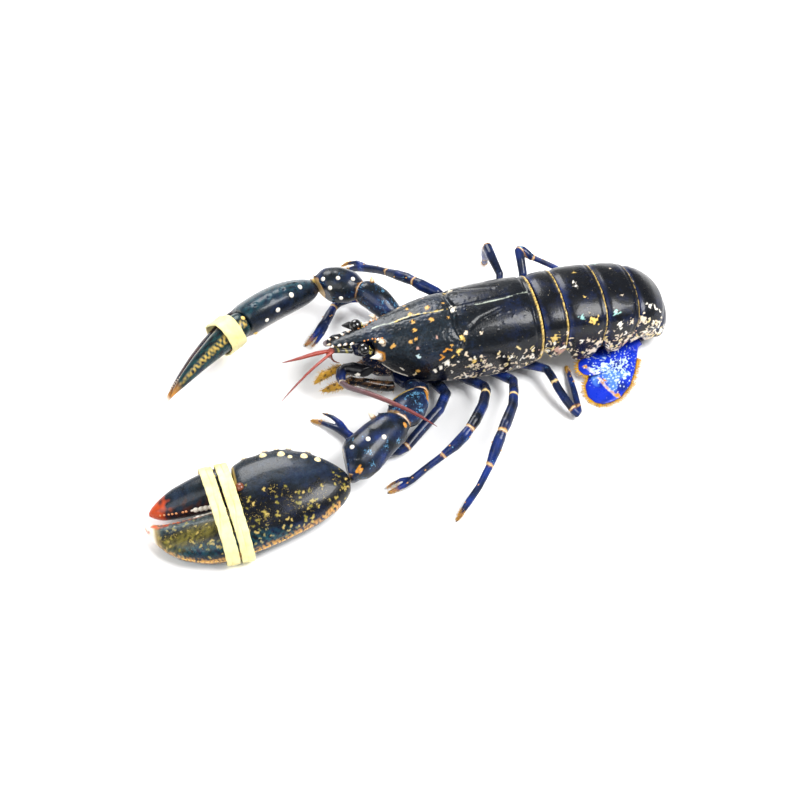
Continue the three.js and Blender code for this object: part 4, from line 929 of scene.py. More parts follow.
# %% The claws' plates
claws = {}
for side in ("left", "right"):
    for node in (f"claw_{side}", f"claw_finger_{side}"):
        claws[node] = Plate(node, grain=0.62, spread=3.6, limit=0.7)
CUTTER_RIDGE = [(14, 13.4, 9), (24, 16.6, 11.4), (35, 18.6, 13), (45, 18, 13.6)]
for s, w, n in CUTTER_RIDGE:
    bump = claws["claw_right"].away(axes["right"].point(s, w, n))
    claws["claw_right"].move(-1.2 * hump(bump, 2.8))

# %% [markdown]
# The crusher is slate and dark green above, and its lower half is crowded with olive specks. Olive and
# teal run out along the fixed finger, an orange ticked line follows the lower edge, and both fingers
# redden to their tips. Each is a band of distances along and across the claw, broken up by noise.

# %% Ground colour of the crusher
palm = claws["claw_left"]
s, w, n = axes["left"].read(palm.points)
wave = ruffle(palm.points, 20, 1)
lower = bounded((4 - w + 5 * wave) / 10)
edge = bounded((-w - 0.72 * (20 + 0.22 * np.minimum(s, 66)) + 3 * wave) / 6)
wrist_flecks = bounded((26 - s) / 14) * bounded((w - 2) / 8) * 0.7
palm.tint(
    haze=bounded(0.95 - 0.8 * lower),
    blue=bounded(0.14 - 0.1 * lower + 0.2 * edge),
    flecks=bounded(0.3 + 0.62 * lower - 0.3 * edge + wrist_flecks + 0.12 * wave),
)
SPECKS = ((0.34, 0.26, 0.06), (0.2, 0.17, 0.03), (0.45, 0.33, 0.1))
CRUSHER_WORMS = 170
palm.worms(lower * (n > -2), CRUSHER_WORMS, 1.4, SPECKS, seed=41)

# %% Markings of the crusher's fixed finger
finger = bounded((s - 70) / 8)
olive_band = hump(w + 17 + 0.1 * (s - 90), 9) * finger
palm.cover(olive_band * 0.6 * bounded(0.7 + ruffle(palm.points, 4, 2) * 0.5), OLIVE)
grey_band = 0.55 * finger * hump(w + 6, 8)
palm.cover(grey_band * bounded(0.6 + 0.4 * ruffle(palm.points, 3, 3)), (0.13, 0.19, 0.2))
teal_band = 0.6 * hump(w + 29 - 0.2 * np.maximum(s - 84, 0), 6)
palm.cover(teal_band * bounded(0.5 + 0.5 * ruffle(palm.points, 3, 7)), TEAL)
EDGE_AT = [5, 22, 34, 46, 67, 80, 92, 104, 113, 119, 124]
EDGE_DEPTH = [12, 22, 26, 29.5, 33.5, 34.6, 32.6, 27.4, 20, 12, 2]
outline = np.interp(s, EDGE_AT, EDGE_DEPTH)
border_ticks = bounded(0.6 + 0.8 * ruffle(palm.points, 2.6, 9))
palm.cover(hump(np.maximum(w + outline - 0.1, 0), 1.1) * border_ticks * (s > 8), (0.6, 0.3, 0.07))
palm.cover(bounded((s - 114.5) / 4) * 0.85, (0.5, 0.36, 0.14))
palm.cover(bounded((s - 117.5) / 2), BONE)
hinge_seat = bounded((s - 66) / 1.5) * bounded((3 - np.abs(w + 3)) / 2)
palm.cover(hinge_seat * bounded(0.4 + 0.7 * ruffle(palm.points, 4, 4)), EMBER)
palm.cover(hump(s - 66.5, 1.6) * (w > 2) * 0.8, STRAW)

# %% Markings of the crusher's moving finger
thumb = claws["claw_finger_left"]
s, w, n = axes["left"].read(thumb.points)
thumb.tint(haze=0.95, blue=0.12, flecks=0.2)
rust = bounded((6 - w + 4 * ruffle(thumb.points, 6, 2)) / 6)
thumb.cover(0.7 * rust, (0.07, 0.022, 0.012))
tip = bounded((s - 108 + 3 * ruffle(thumb.points, 6, 5)) / 5)
thumb.cover(tip * 0.9, EMBER)
crest = np.interp(s, [67, 80, 92, 104, 112, 119], [25, 26.6, 24, 20.4, 16, 10])
thumb.cover(hump(w - crest, 1.6) * (s > 84) * 0.6, EMBER)

# %% [markdown]
# The cutter is rust-brown below, and painted light makes it bottle green where its shell faces up.
# The same orange ticked line borders it, and two ticked straw lines run along its moving finger.

# %% Markings of the cutter
palm = claws["claw_right"]
s, w, n = axes["right"].read(palm.points)
wave = ruffle(palm.points, 16, 1)
below = bounded((2 - w + 4 * wave) / 8)
palm.tint(
    haze=bounded(0.6 - 0.5 * below),
    blue=0.16,
    flecks=bounded(0.25 + 0.35 * below + 0.15 * wave),
)
# painted light: a bottle-green tint where the shell faces up through the claw
facing = palm.normals @ axes["right"].upper
painted_lit_side = bounded(facing * 1.4 + 0.2) * (1 - below)
palm.cover(0.6 * painted_lit_side * bounded(0.55 + 0.5 * ruffle(palm.points, 5, 2)), (0.014, 0.075, 0.1))
palm.cover(0.7 * below * bounded(0.6 + 0.6 * ruffle(palm.points, 6, 3)), (0.085, 0.022, 0.01))
EDGE_AT = [5, 22, 45, 66, 79, 92, 104, 114, 121, 126]
EDGE_DEPTH = [11.6, 16, 17, 17.6, 16.4, 14, 10.8, 7.4, 4, 0.6]
outline = np.interp(s, EDGE_AT, EDGE_DEPTH)
border_ticks = bounded(0.7 + 0.6 * ruffle(palm.points, 2.6, 9))
palm.cover(hump(np.maximum(w + outline - 0.2, 0), 1.6) * border_ticks * (s > 20), (0.6, 0.28, 0.05))
palm.cover(bounded((s - 112) / 8) * 0.8, AMBER)
palm.cover(bounded((s - 119) / 3), BONE)

# %% Markings of the cutter's moving finger
thumb = claws["claw_finger_right"]
s, w, n = axes["right"].read(thumb.points)
thumb.tint(haze=0.4, blue=0.12, flecks=0.55)
thumb.cover(0.6 * bounded(0.5 + 0.5 * ruffle(thumb.points, 5, 2)), (0.012, 0.07, 0.07))
outline = np.interp(s, [54, 60, 68, 81, 94, 106, 114, 120], [16.6, 18.4, 18.2, 16, 13, 9.6, 7, 5])
line_ticks = bounded(0.5 + 0.8 * ruffle(thumb.points, 2.4, 4))
for line in (outline, outline * 0.55):
    thumb.cover(hump(w - line, 0.9) * line_ticks, (0.6, 0.42, 0.1))
thumb.cover(bounded((s - 110) / 8) * 0.8, AMBER)
for plate in claws.values():
    plate.write(claw_shell, "claw_shell")

# %% [markdown]
# Arms and walking legs are jointed tubes. Each joint has a cream or amber ring at its edges, and a
# pale, folded membrane shows between the shells. A joint's place and direction are found from the two
# solids that face each other there.

# %% Where limbs bend
class Joint:
    """The place, direction and half width of the gap between two solids of a limb."""

    def __init__(self, first, second):
        tree = node_tree(second)
        facing = []
        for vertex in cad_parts[first].data.vertices:
            found = tree.find_nearest(vertex.co, 0.8 * MM)
            if found[0] is not None:
                facing.append(np.array(vertex.co))
        facing = np.array(facing)
        self.middle = (facing.min(axis=0) + facing.max(axis=0)) / 2
        spread = facing - facing.mean(axis=0)
        self.direction = np.linalg.svd(spread, full_matrices=False)[2][2]
        self.radius = np.percentile(np.linalg.norm(facing - self.middle, axis=1), 75) / MM

    def ring(self, plate):
        """Distance of a plate's points from the plane of the joint, near the joint, in millimetres."""
        away = (plate.points - self.middle) / MM
        flat = np.abs(away @ self.direction)
        return np.where(np.linalg.norm(away, axis=1) < self.radius * 1.7 + 2, flat, 99.0)


RING = (0.74, 0.54, 0.24)


def limb_plate(node, grain, spread, limit, blue, flecks, joints, ring_width, seed, haze=0.1):
    """A length of limb with ragged cream and amber rings at its joints."""
    plate = Plate(node, grain=grain, spread=spread, limit=limit)
    plate.tint(
        blue=bounded(blue + 0.25 * ruffle(plate.points, 14, seed)),
        flecks=bounded(flecks + 0.25 * ruffle(plate.points, 9, seed + 1)),
        haze=haze,
    )
    for k, joint in enumerate(joints):
        flat = joint.ring(plate) * (1 + 0.4 * ruffle(plate.points, 3.5, seed + k))
        plate.move(0.22 * hump(flat, 1.6))
        plate.cover(bounded((ring_width * 1.5 - flat) / 1.2) * 0.75, AMBER)
        plate.cover(bounded((ring_width - flat) / 0.9) * 0.9, RING)
    return plate


# %% [markdown]
# Each arm is three lengths up to the claw, and each walking leg is three lengths here, where life has
# more. The inner lengths are darker, and the crusher's arm is bluer than the cutter's.

# %% Joints of the arms and legs
joints = {}
for side in ("left", "right"):
    arm = [f"claw_ischium_{side}", f"claw_merus_{side}", f"claw_carpus_{side}", f"claw_{side}"]
    for first, second in zip(arm, arm[1:]):
        joints[first, second] = Joint(first, second)
    for number in range(2, 6):
        leg = [f"leg_{number}_{side}_{part}" for part in ("thigh", "shin", "foot")]
        for first, second in zip(leg, leg[1:]):
            joints[first, second] = Joint(first, second)


def joints_of(node):
    return [joint for pair, joint in joints.items() if node in pair]


# %% Arms and legs
ARM_FLECKS = (0.9, 0.95, 0.75)
ARM_BLUE = {"left": 0.26, "right": 0.16}
LEG_BLUE = (0.42, 0.5, 0.52)
LEG_FLECKS = (0.55, 0.8, 0.6)
arms, legs = {}, {}
for side in ("left", "right"):
    for k, part in enumerate(("ischium", "merus", "carpus")):
        node = f"claw_{part}_{side}"
        looks = {"blue": ARM_BLUE[side], "flecks": ARM_FLECKS[k], "haze": 0.5, "ring_width": 0.7}
        arms[node] = limb_plate(node, 0.48, 2.2, 0.6, joints=joints_of(node), seed=k + 3, **looks)
    for number in range(2, 6):
        for k, part in enumerate(("thigh", "shin", "foot")):
            node = f"leg_{number}_{side}_{part}"
            looks = {"blue": LEG_BLUE[k], "flecks": LEG_FLECKS[k], "haze": 0.2, "ring_width": 0.9}
            bends = joints_of(node)
            legs[node] = limb_plate(node, 0.38, 1.0, 0.3, joints=bends, seed=number * 5 + k, **looks)

# %% [markdown]
# Some marks are found by their place in the picture: the amber spots and the straw edge of the
# crusher's arm, and the rings near the body, where the near legs have one more joint in life. The
# legs' fingertips turn amber, and their very ends are dark horn.

# %% Single marks on arms and legs
merus = arms["claw_merus_left"]
merus_edge = [merus.seen(*p) for p in ((390, 396), (400, 390), (411, 385))]
merus.stripe(merus_edge, 1.2, STRAW, broken=0.3, seed=1)
for px, py, size in ((437, 390, 2.2), (447, 392, 2.4), (453, 394, 2.0), (430, 393, 1.2)):
    merus.fleck(merus.seen(px, py), size, AMBER, ragged=0.6, seed=px)
carpus = arms["claw_carpus_left"]
CARPUS_FLECKS = [
    (336, 455, 3.2, (0.2, 0.17, 0.22)), (339, 451, 1.4, STRAW), (332, 459, 1.2, STRAW),
    (359, 470, 2.0, AMBER), (348, 477, 2.6, OLIVE),
]
for px, py, size, colour in CARPUS_FLECKS:
    carpus.fleck(carpus.seen(px, py), size, colour, ragged=0.5, seed=px)
LEG_BENDS = [(3, (487, 390), (488, 384)), (4, (513, 392), (514, 386)), (5, (554, 381), (551, 376))]
for number, (px, py), before in LEG_BENDS:
    plate = legs[f"leg_{number}_left_thigh"]
    middle = plate.seen(px, py)
    along = middle - plate.seen(*before)
    flat = np.abs((plate.points - middle) @ along) / np.linalg.norm(along) / MM
    near = bounded((7 - plate.away(middle)) / 1.5)
    ragged = flat * (1 + 0.4 * ruffle(plate.points, 3.5, number))
    plate.cover(bounded((1.2 - ragged) / 0.9) * near, RING)
for node, plate in legs.items():
    if node.endswith("foot"):
        tip = plate.points[np.argmax(plate.away(joints_of(node)[0].middle))]
        reach = plate.away(tip)
        plate.cover(bounded((9 - reach + 2 * ruffle(plate.points, 4, 2)) / 5) * 0.55, AMBER)
        plate.cover(bounded((2.2 - reach) / 1.2), (0.1, 0.05, 0.02))
for plate in [*arms.values(), *legs.values()]:
    plate.write(leg_shell, "claw_shell" if "claw" in plate.obj.name else "shell_blue")

# %% [markdown]
# The long feelers and the short forked pair are whips of hundreds of tiny rings, so a fine wave runs
# along them in colour and relief. They are wine-red, the long ones dull near the head, and the bases
# of the short pair are black with yellow bands.

# %% The finish of the feelers
RING_SPACING = 0.9
feeler_red = Finish("feeler_red", Roughness=0.3, Coat_Weight=0.3)
along = feeler_red.attribute("along")
ring_wave = (along * (2 * math.pi / RING_SPACING)).math("SINE")
whip = feeler_red.mix(along.step(4, 50), (0.36, 0.035, 0.012), (0.17, 0.012, 0.01))
whip = feeler_red.mix(feeler_red.attribute("dull"), whip, (0.1, 0.065, 0.075))
whip = feeler_red.mix(ring_wave.step(0.4, 1.0) * 0.55, whip, (0.02, 0.004, 0.008))
feeler_red.set(
    Base_Color=feeler_red.mix(feeler_red.attribute("marked"), whip, feeler_red.attribute("mark", "Color")),
    Normal=feeler_red.relief(ring_wave, 0.05),
)

# %% Feelers
SIDES = {"left": 1, "right": -1}
for side, sign in SIDES.items():
    feeler = Plate(f"antenna_{side}", grain=0.28, spread=0.5, limit=0.12)
    out = feeler.away(place(127, sign * 16, 27.6))
    feeler.tint(along=out, dull=np.clip(1.25 - out / 45, 0, 0.95))
    feeler.write(feeler_red, "feelers")
    whips = Plate(f"antennule_{side}", grain=0.2, spread=0.3, limit=0.08)
    out = whips.away(place(116.6, 0, 38))
    whips.value("along")[:] = np.clip(out - 12, 0, 99)
    whips.cover(bounded((13 - out) / 1.5), (0.012, 0.014, 0.016))
    base_bands = hump(np.abs(((out + 1) % 4.2) - 2.1), 0.8) * (out < 12.5)
    whips.cover(base_bands * bounded(0.6 + 0.6 * ruffle(whips.points, 2.5, 3)), (0.5, 0.42, 0.08))
    whips.write(feeler_red, "feelers")

# %% [markdown]
# The long feelers stand on thick bases with an oval scale, dark with cream and rose spots. The two are
# mirror images, so the spots are given once, for the left one.

# %% Bases of the long feelers
BASE_SPOTS = [
    (124.6, 6.4, 28, 1.9, BONE), (114.6, 10.5, 28, 1.6, BONE),
    (113, 8, 25.5, 2.2, ROSE), (126.8, 18.4, 27.6, 2.2, CREAM),
]


def on_side(side, point):
    """A point of the left side, or its mirror image on the right side."""
    return point if side == "left" else mirrored([point])[0]


for side in SIDES:
    base = Plate(f"antenna_base_{side}", grain=0.38, spread=0.9, limit=0.3)
    base.move(1.3 * hump(base.away(on_side(side, place(115.5, 10, 28))), 9))
    front_blue = 0.6 * hump(base.away(place(126.6, 14, 27.8)), 8)
    base.tint(blue=bounded(0.06 + front_blue), flecks=0.25)
    for x, y, z, size, colour in BASE_SPOTS:
        spot = base.surface(on_side(side, place(x, y, z)))[0]
        base.fleck(spot, size, colour, ragged=0.5, seed=int(x))
    base.write(limb_shell, "shell_blue")

# %% [markdown]
# The outer pair of mouthparts reaches out below the head like two small folded legs. They are brown
# above, and their ends are golden with dark bands. Their bristles are made further on.

# %% Mouthparts
mouths = {}
for side in SIDES:
    mouth = Plate(f"maxilliped_{side}", grain=0.42, spread=0.8, limit=0.25)
    local = mouth.local()
    mouth.tint(blue=0.1, flecks=0.6)
    upper = bounded(mouth.normals[:, 2] * 1.5 - 0.3) * bounded(0.3 + ruffle(mouth.points, 5, 8))
    mouth.cover(upper * 0.8, (0.16, 0.08, 0.035))
    tips = bounded((local[:, 0] - 122 + 3 * ruffle(mouth.points, 4, 2)) / 5)
    mouth.cover(tips * 0.95, (0.5, 0.27, 0.03))
    dark_bands = tips * bounded(ruffle(mouth.points, 3, 6) * 2 - 0.4)
    mouth.cover(dark_bands * 0.8, (0.04, 0.02, 0.01))
    mouths[side] = mouth
    mouth.write(limb_shell, "mouthparts")

# %% [markdown]
# The eyes are glossy black balls of thousands of tiny lenses, on short stalks flecked with yellow. The
# lenses are too small to model, so a cell pattern tints the black.

# %% Eyes
LENS_CELL = 0.18
EYE_BALL = 4.1
eye_black = Finish("eye_black", Roughness=0.06, Coat_Weight=0.6, Coat_Roughness=0.03)
socket_eyes = {}
lens_cells = eye_black.cells(LENS_CELL)
black = eye_black.mix(lens_cells, (0.004, 0.004, 0.006), (0.001, 0.001, 0.001))
eye_tone = eye_black.mix(eye_black.attribute("marked"), black, eye_black.attribute("mark", "Color"))
eye_black.set(Base_Color=eye_tone)
for side, sign in SIDES.items():
    eye = Plate(f"eye_{side}", grain=0.26, spread=0.8, limit=0.3)
    ball = eye.away(place(111.2, sign * 10.2, 46.4))
    stalk = bounded((ball - EYE_BALL) / 0.5)
    eye.cover(stalk, (0.03, 0.028, 0.012))
    eye.cover(stalk * (ruffle(eye.points, 1.6, 3) > 0.35), (0.5, 0.4, 0.08))
    socket_eyes[side] = eye
    eye.write(eye_black, "eyes")

# %% [markdown]
# Each band is one loop# %% [markdown]
# Each band is one loop of soft rubber, stretched over both fingers. Two shallow folds wander along it,
# and shade is painted into them as a darker colour. The solid has its shape, so only the folds are pressed
# in.

# %% The bands
rubber = Finish(
    "band_rubber", Roughness=0.5, Subsurface_Weight=0.12, Subsurface_Scale=0.002, Specular_IOR_Level=0.35
)
painted_fold_shade = rubber.attribute("painted_fold_shade")
tone = rubber.mix(rubber.noise(7, 3).step(0.3, 0.7), (0.74, 0.66, 0.26), (0.82, 0.76, 0.42))
# painted shade: the rubber's colour is darkened to brown in its folds
tone = rubber.mix(painted_fold_shade.step(0.2, 1.0) * 0.8, tone, (0.5, 0.38, 0.1))
rubber.set(Base_Color=tone, Normal=rubber.relief(rubber.noise(0.5, 3), 0.03))
BANDS = {
    "band_left_front": {"side": "left", "middle": 79.8, "half": 4.1},
    "band_left_rear": {"side": "left", "middle": 70.4, "half": 4.0},
    "band_right": {"side": "right", "middle": 66.5, "half": 5.6},
}
for node, band in BANDS.items():
    plate = Plate(node, grain=0.42, spread=0.9, limit=0.25)
    s, w, n = axes[band["side"]].read(plate.points)
    over = (s - band["middle"]) / band["half"]
    round_loop = np.arctan2(n, w)
    wander = 0.25 * np.sin(round_loop * 2 + 1) + 0.12 * np.sin(round_loop * 5)
    crease = hump(np.abs(over - 0.15 - wander), 0.16)
    crease += 0.7 * hump(np.abs(over + 0.45 + wander * 0.7), 0.12)
    crease *= bounded(0.55 + 0.6 * ruffle(plate.points, 22, 4))
    plate.move(-0.4 * crease + 0.12 * ruffle(plate.points, 7, 2))
    # the depth of the folds, kept for the painted shade in them
    plate.value("painted_fold_shade")[:] = bounded(crease)
    plate.write(rubber, "bands")

# %% [markdown]
# Spines and knobs are modelled once, as a flared cone and a flattened ball, and copied into place. Each
# sits on the nearest point of the shell, sunk a little, and is pale with a warmer foot.

# %% One spine and one knob
bpy.ops.object.select_all(action="DESELECT")
bpy.ops.mesh.primitive_cone_add(vertices=12, radius1=1, radius2=0.1, depth=1, location=(0, 0, 0.5))
spine_shape = bpy.context.active_object
spine_shape.name = "spine_shape"
bpy.ops.object.transform_apply(location=True)
in_edit_mode(spine_shape, (bpy.ops.mesh.subdivide, {"number_cuts": 2}))
for vertex in spine_shape.data.vertices:
    height = vertex.co.z
    swell = 1 + 0.45 * math.sin(math.pi * min(height, 1)) - 0.1 * height
    vertex.co.x *= swell
    vertex.co.y *= swell
bpy.ops.object.select_all(action="DESELECT")
bpy.ops.mesh.primitive_uv_sphere_add(segments=14, ring_count=8, radius=1, location=(0, 0, 0))
knob_shape = bpy.context.active_object
knob_shape.name = "knob_shape"
knob_shape.data.transform(Matrix.Diagonal((1, 1, 0.8, 1)))


def shape_arrays(obj):
    mesh = obj.data
    mesh.calc_loop_triangles()
    triangles = np.array([t.vertices[:] for t in mesh.loop_triangles])
    return points_of(obj), triangles


SPINE = shape_arrays(spine_shape)
KNOB = shape_arrays(knob_shape)
for obj in (spine_shape, knob_shape):
    bpy.data.objects.remove(obj)


# %% Copies grown into one mesh
def frame_round(direction):
    """Two directions square to a third one."""
    helper = np.array([0, 0, 1.0]) if abs(direction[2]) < 0.9 else np.array([1.0, 0, 0])
    first = unit(np.cross(helper, direction))
    return first, np.cross(direction, first)


def grow(name, shapes, finish):
    """One mesh of many copies: each is (shape, root, direction, length, radius, colour)."""
    points, faces, colours, heights = [], [], [], []
    count = 0
    for (corners, triangles), root, direction, length, radius, colour in shapes:
        direction = unit(direction)
        first, second = frame_round(direction)
        x, y, z = corners.T
        body = np.outer(x * radius * MM, first) + np.outer(y * radius * MM, second)
        points.append(root + body + np.outer(z * length * MM, direction))
        faces.append(triangles + count)
        colours.append(np.tile([*colour, 1.0], (len(corners), 1)))
        heights.append(z - z.min())
        count += len(corners)
    mesh = bpy.data.meshes.new(name)
    mesh.from_pydata(np.vstack(points).tolist(), [], np.vstack(faces).tolist())
    mesh.polygons.foreach_set("use_smooth", [True] * len(mesh.polygons))
    layer = mesh.attributes.new("mark", "FLOAT_COLOR", "POINT")
    layer.data.foreach_set("color", np.vstack(colours).ravel())
    layer = mesh.attributes.new("height", "FLOAT", "POINT")
    layer.data.foreach_set("value", np.concatenate(heights))
    obj = bpy.data.objects.new(name, mesh)
    bpy.context.scene.collection.objects.link(obj)
    mesh.materials.append(finish.material)
    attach(obj, "root")
    print(name, len(shapes), "copies")
    return obj


# %% Horn
horn = Finish("pale_horn", Roughness=0.3, Coat_Weight=0.2)
horn_height = horn.attribute("height")
foot = horn.mix(horn.noise(0.8, 2).step(0.35, 0.65), (0.3, 0.13, 0.02), (0.1, 0.05, 0.015))
above_foot = (horn_height + (horn.noise(0.6, 2) - 0.5) * 0.4).step(0.05, 0.4)
horn_tone = horn.mix(above_foot, foot, horn.attribute("mark", "Color"))
horn.set(Base_Color=horn_tone, Normal=horn.relief(horn.noise(0.3, 3), 0.03))

# %% [markdown]
# The head's beak has forward teeth on both edges and a point in front. A stout spine stands on each
# cheek and a smaller one over each eye. A row of round grains runs along each side of the beak's root,
# and a ring of them goes round each eye.

# %% Spines of the head
head_spines = []
ROSTRUM_TEETH = [
    (101.5, 7.6, 50.6, 2.4), (116.4, 5.0, 48.2, 3.2), (120.4, 4.3, 47.5, 3.0),
    (124.4, 3.5, 46.8, 2.8), (128.2, 2.5, 46.1, 2.5),
]
for x, y, z, length in ROSTRUM_TEETH:
    for side in (-1, 1):
        root = carapace.surface(place(x, side * (y + 0.6), z))[0]
        direction = unit((0.78, side * 0.42, 0.3))
        head_spines.append((SPINE, root - direction * 0.6 * MM, direction, length, 0.85, BONE))
for side in (-1, 1):
    root = carapace.surface(place(103.6, side * 13.4, 41.0))[0]
    root = root - np.array([3.0, 0, 0]) * MM
    head_spines.append((SPINE, root, unit((0.96, side * 0.12, 0.12)), 8.0, 2.3, BONE))
    root = carapace.surface(place(98.5, side * 10.8, 50))[0]
    head_spines.append((SPINE, root, unit((0.85, side * 0.25, 0.42)), 4.2, 1.5, CREAM))
    for k in range(6):
        root, out = carapace.surface(place(99 + k * 2.2, side * (8.2 - k * 0.45), 52 - k * 0.25))
        head_spines.append((KNOB, root, out, 0.5, 0.65, (0.55, 0.2, 0.04)))
EYE_RING = 10
EYE_RING_RADIUS = 3.4
for side, plate in ((1, "left"), (-1, "right")):
    for k in range(EYE_RING):
        turn = 2 * math.pi * k / EYE_RING
        over, up = EYE_RING_RADIUS * math.cos(turn), EYE_RING_RADIUS * math.sin(turn)
        guess = place(107 + 0.6 * math.cos(turn), side * (9.9 + over), 43.6 + up)
        root, out = socket_eyes[plate].surface(guess)
        head_spines.append((KNOB, root, out, 0.5, 0.6, (0.5, 0.4, 0.07)))
root = carapace.surface(place(131, 0, 46))[0] - np.array([1.5, 0, 0]) * MM
head_spines.append((SPINE, root, (1, 0, 0.05), 3.0, 0.8, CREAM))
grow("head_spines", head_spines, horn)


# %% [markdown]
# Rounded cream knobs stand along the inner edge and the crest of each claw, and a close row of small
# ones follows the outer edge. The large ones are put where the picture shows them.

# %% Knobs and spines of the claws
def at_pixel(plate, px, py, kind, length, radius, colour, lean=None, sink=0.3):
    """A spine or knob where a line of sight meets a plate, square to the shell unless it leans."""
    spot = plate.seen(px, py)
    root, out = plate.surface(spot)
    direction = unit(out + (np.array(lean) if lean is not None else 0))
    return (kind, root - out * sink * MM, direction, length, radius, colour)


# %% Large knobs
claw_horn = []
crusher = claws["claw_left"]
CRUSHER_KNOBS = [
    (20, 23.6, 4, 1.9), (31, 28.2, 4.4, 2.0), (38, 28.8, 6.6, 1.5), (45, 29.6, 4.4, 2.0), (58, 28, 4, 1.9),
]
for s, w, n, size in CRUSHER_KNOBS:
    root, out = crusher.surface(axes["left"].point(s, w + 1.5, n + 0.8))
    claw_horn.append((KNOB, root - out * 1.0 * MM, out, size, size, CREAM))
    claw_horn.append((KNOB, *crusher.surface(axes["left"].point(s + 5, w, -n)), 0.9, 1.1, CREAM))
CREST_KNOBS = [(263, 456, 2.4), (281, 454.5, 2.5), (290, 457, 1.6), (304, 456.5, 2.4), (317.5, 460, 2.2)]
for px, py, size in CREST_KNOBS:
    knob = at_pixel(crusher, px, py, KNOB, size * 0.7, size, (0.8, 0.66, 0.35), lean=(0, 0.5, 0.5))
    claw_horn.append(knob)
claw_horn.append(at_pixel(claws["claw_finger_left"], 212, 477, KNOB, 2.0, 2.2, (0.8, 0.6, 0.2)))
claw_horn.append(at_pixel(crusher, 239, 487, KNOB, 2.6, 3.0, (0.16, 0.04, 0.015)))
cutter = claws["claw_right"]
CUTTER_KNOBS = [(300, 287, 1.7), (291.5, 295, 1.8), (278, 310, 1.7), (267, 320, 1.5), (257, 335, 1.6)]
for px, py, size in CUTTER_KNOBS:
    claw_horn.append(at_pixel(cutter, px, py, KNOB, size, size, BONE if px > 262 else STRAW))
claw_horn.append(at_pixel(claws["claw_finger_right"], 243, 318, KNOB, 1.4, 1.6, STRAW))

# %% The row of small knobs
ROW_START, ROW_LENGTH = 24, 92
for side, count, depth in (("left", 46, 34), ("right", 40, 18)):
    plate = claws[f"claw_{side}"]
    for k in range(count):
        s = ROW_START + k * (ROW_LENGTH / count) + math.sin(k * 2.3) * 0.5
        root, out = plate.surface(axes[side].point(s, -depth - 4, -1))
        claw_horn.append((KNOB, root, out, 0.5, 0.75, (0.62, 0.36, 0.09)))

# %% [markdown]
# The crusher bears blunt molars, large near the hinge and smaller towards the tips. The cutter has a
# close row of small sharp teeth. White with red feet, they are set along both biting edges.

# %% Teeth
MOLARS, MOLAR_STEP = 13, 2.9
CUTTING_TEETH, CUTTING_STEP = 30, 1.95
teeth = []
draw = random.Random(11)
for k in range(MOLARS):
    s = 80 + k * MOLAR_STEP
    size = (2.7 if k < 5 else 1.6) - 0.05 * k
    for node, w in (("claw_left", -0.6), ("claw_finger_left", 1.0)):
        root, out = claws[node].surface(axes["left"].point(s + draw.uniform(-0.6, 0.6), w, 1.5))
        biting = axes["left"].across * (1 if node == "claw_left" else -1)
        direction = unit(out * 0.4 + biting + axes["left"].upper * 0.5)
        colour = BONE if k < 6 else (0.7, 0.3, 0.12)
        teeth.append((KNOB, root - direction * 0.4 * MM, direction, size * 0.75, size * 0.8, colour))
for k in range(CUTTING_TEETH):
    s = 62 + k * CUTTING_STEP
    for node, w in (("claw_right", -0.4), ("claw_finger_right", 0.4)):
        root, out = claws[node].surface(axes["right"].point(s, w, 3 + 0.02 * s))
        direction = unit(out * 0.5 + axes["right"].across * (1 if node == "claw_right" else -1))
        teeth.append((SPINE, root - direction * 0.3 * MM, direction, 1.1, 0.6, CREAM))
grow("claw_teeth", teeth, horn)

# %% [markdown]
# The arms carry knobs and a few stout spines at the ends of their lengths, put where the picture shows
# them. The legs have only some tiny forward points, at random places on their outer lengths.

# %% Spines of the arms
arm_horn = []
left_carpus, left_merus = arms["claw_carpus_left"], arms["claw_merus_left"]
for px, py, length in ((368, 439, 2.2), (384, 437, 2.2), (352, 447, 1.6)):
    arm_horn.append(at_pixel(left_carpus, px, py, KNOB, length, 1.6, BONE))
arm_horn.append(at_pixel(left_carpus, 368, 409, SPINE, 5.0, 1.8, CREAM, lean=(0.5, -0.4, 0.2)))
arm_horn.append(at_pixel(left_carpus, 405, 425, KNOB, 1.6, 2.0, AMBER))
arm_horn.append(at_pixel(left_carpus, 360, 470.5, KNOB, 1.2, 1.5, AMBER))
arm_horn.append(at_pixel(left_merus, 392, 404, SPINE, 3.6, 1.4, CREAM, lean=(0.6, 0, 0.1)))
right_carpus, right_merus = arms["claw_carpus_right"], arms["claw_merus_right"]
for px, py in ((323, 279), (338, 278), (353, 279), (341, 298), (330, 288)):
    arm_horn.append(at_pixel(right_carpus, px, py, KNOB, 1.7, 1.5, BONE))
arm_horn.append(at_pixel(right_carpus, 314, 281, KNOB, 1.8, 1.8, STRAW))
arm_horn.append(at_pixel(right_merus, 373, 281, SPINE, 4.2, 1.7, (0.75, 0.5, 0.28), lean=(0.4, -0.5, 0.3)))

# %% Points on the legs
for node, plate in legs.items():
    if node.endswith("thigh"):
        continue
    nearest = joints_of(node)[0].middle
    count = 5 if node.endswith("foot") else 3
    for k in range(count):
        pick = draw.randrange(len(plate.points))
        root, out = plate.points[pick], plate.normals[pick]
        if out[2] < -0.1:
            continue
        forward = unit(root - nearest)
        direction = unit(out * 0.6 + forward)
        arm_horn.append((SPINE, root - out * 0.2 * MM, direction, 1.3, 0.45, (0.6, 0.3, 0.08)))
grow("limb_spines", arm_horn, horn)
grow("claw_knobs", claw_horn, horn)

# %% [markdown]
# Between the hard lengths the skin stays soft and pale, so that the limb can bend. A low collar in each
# gap shows it; it fills the joint a little under the width of the shells.

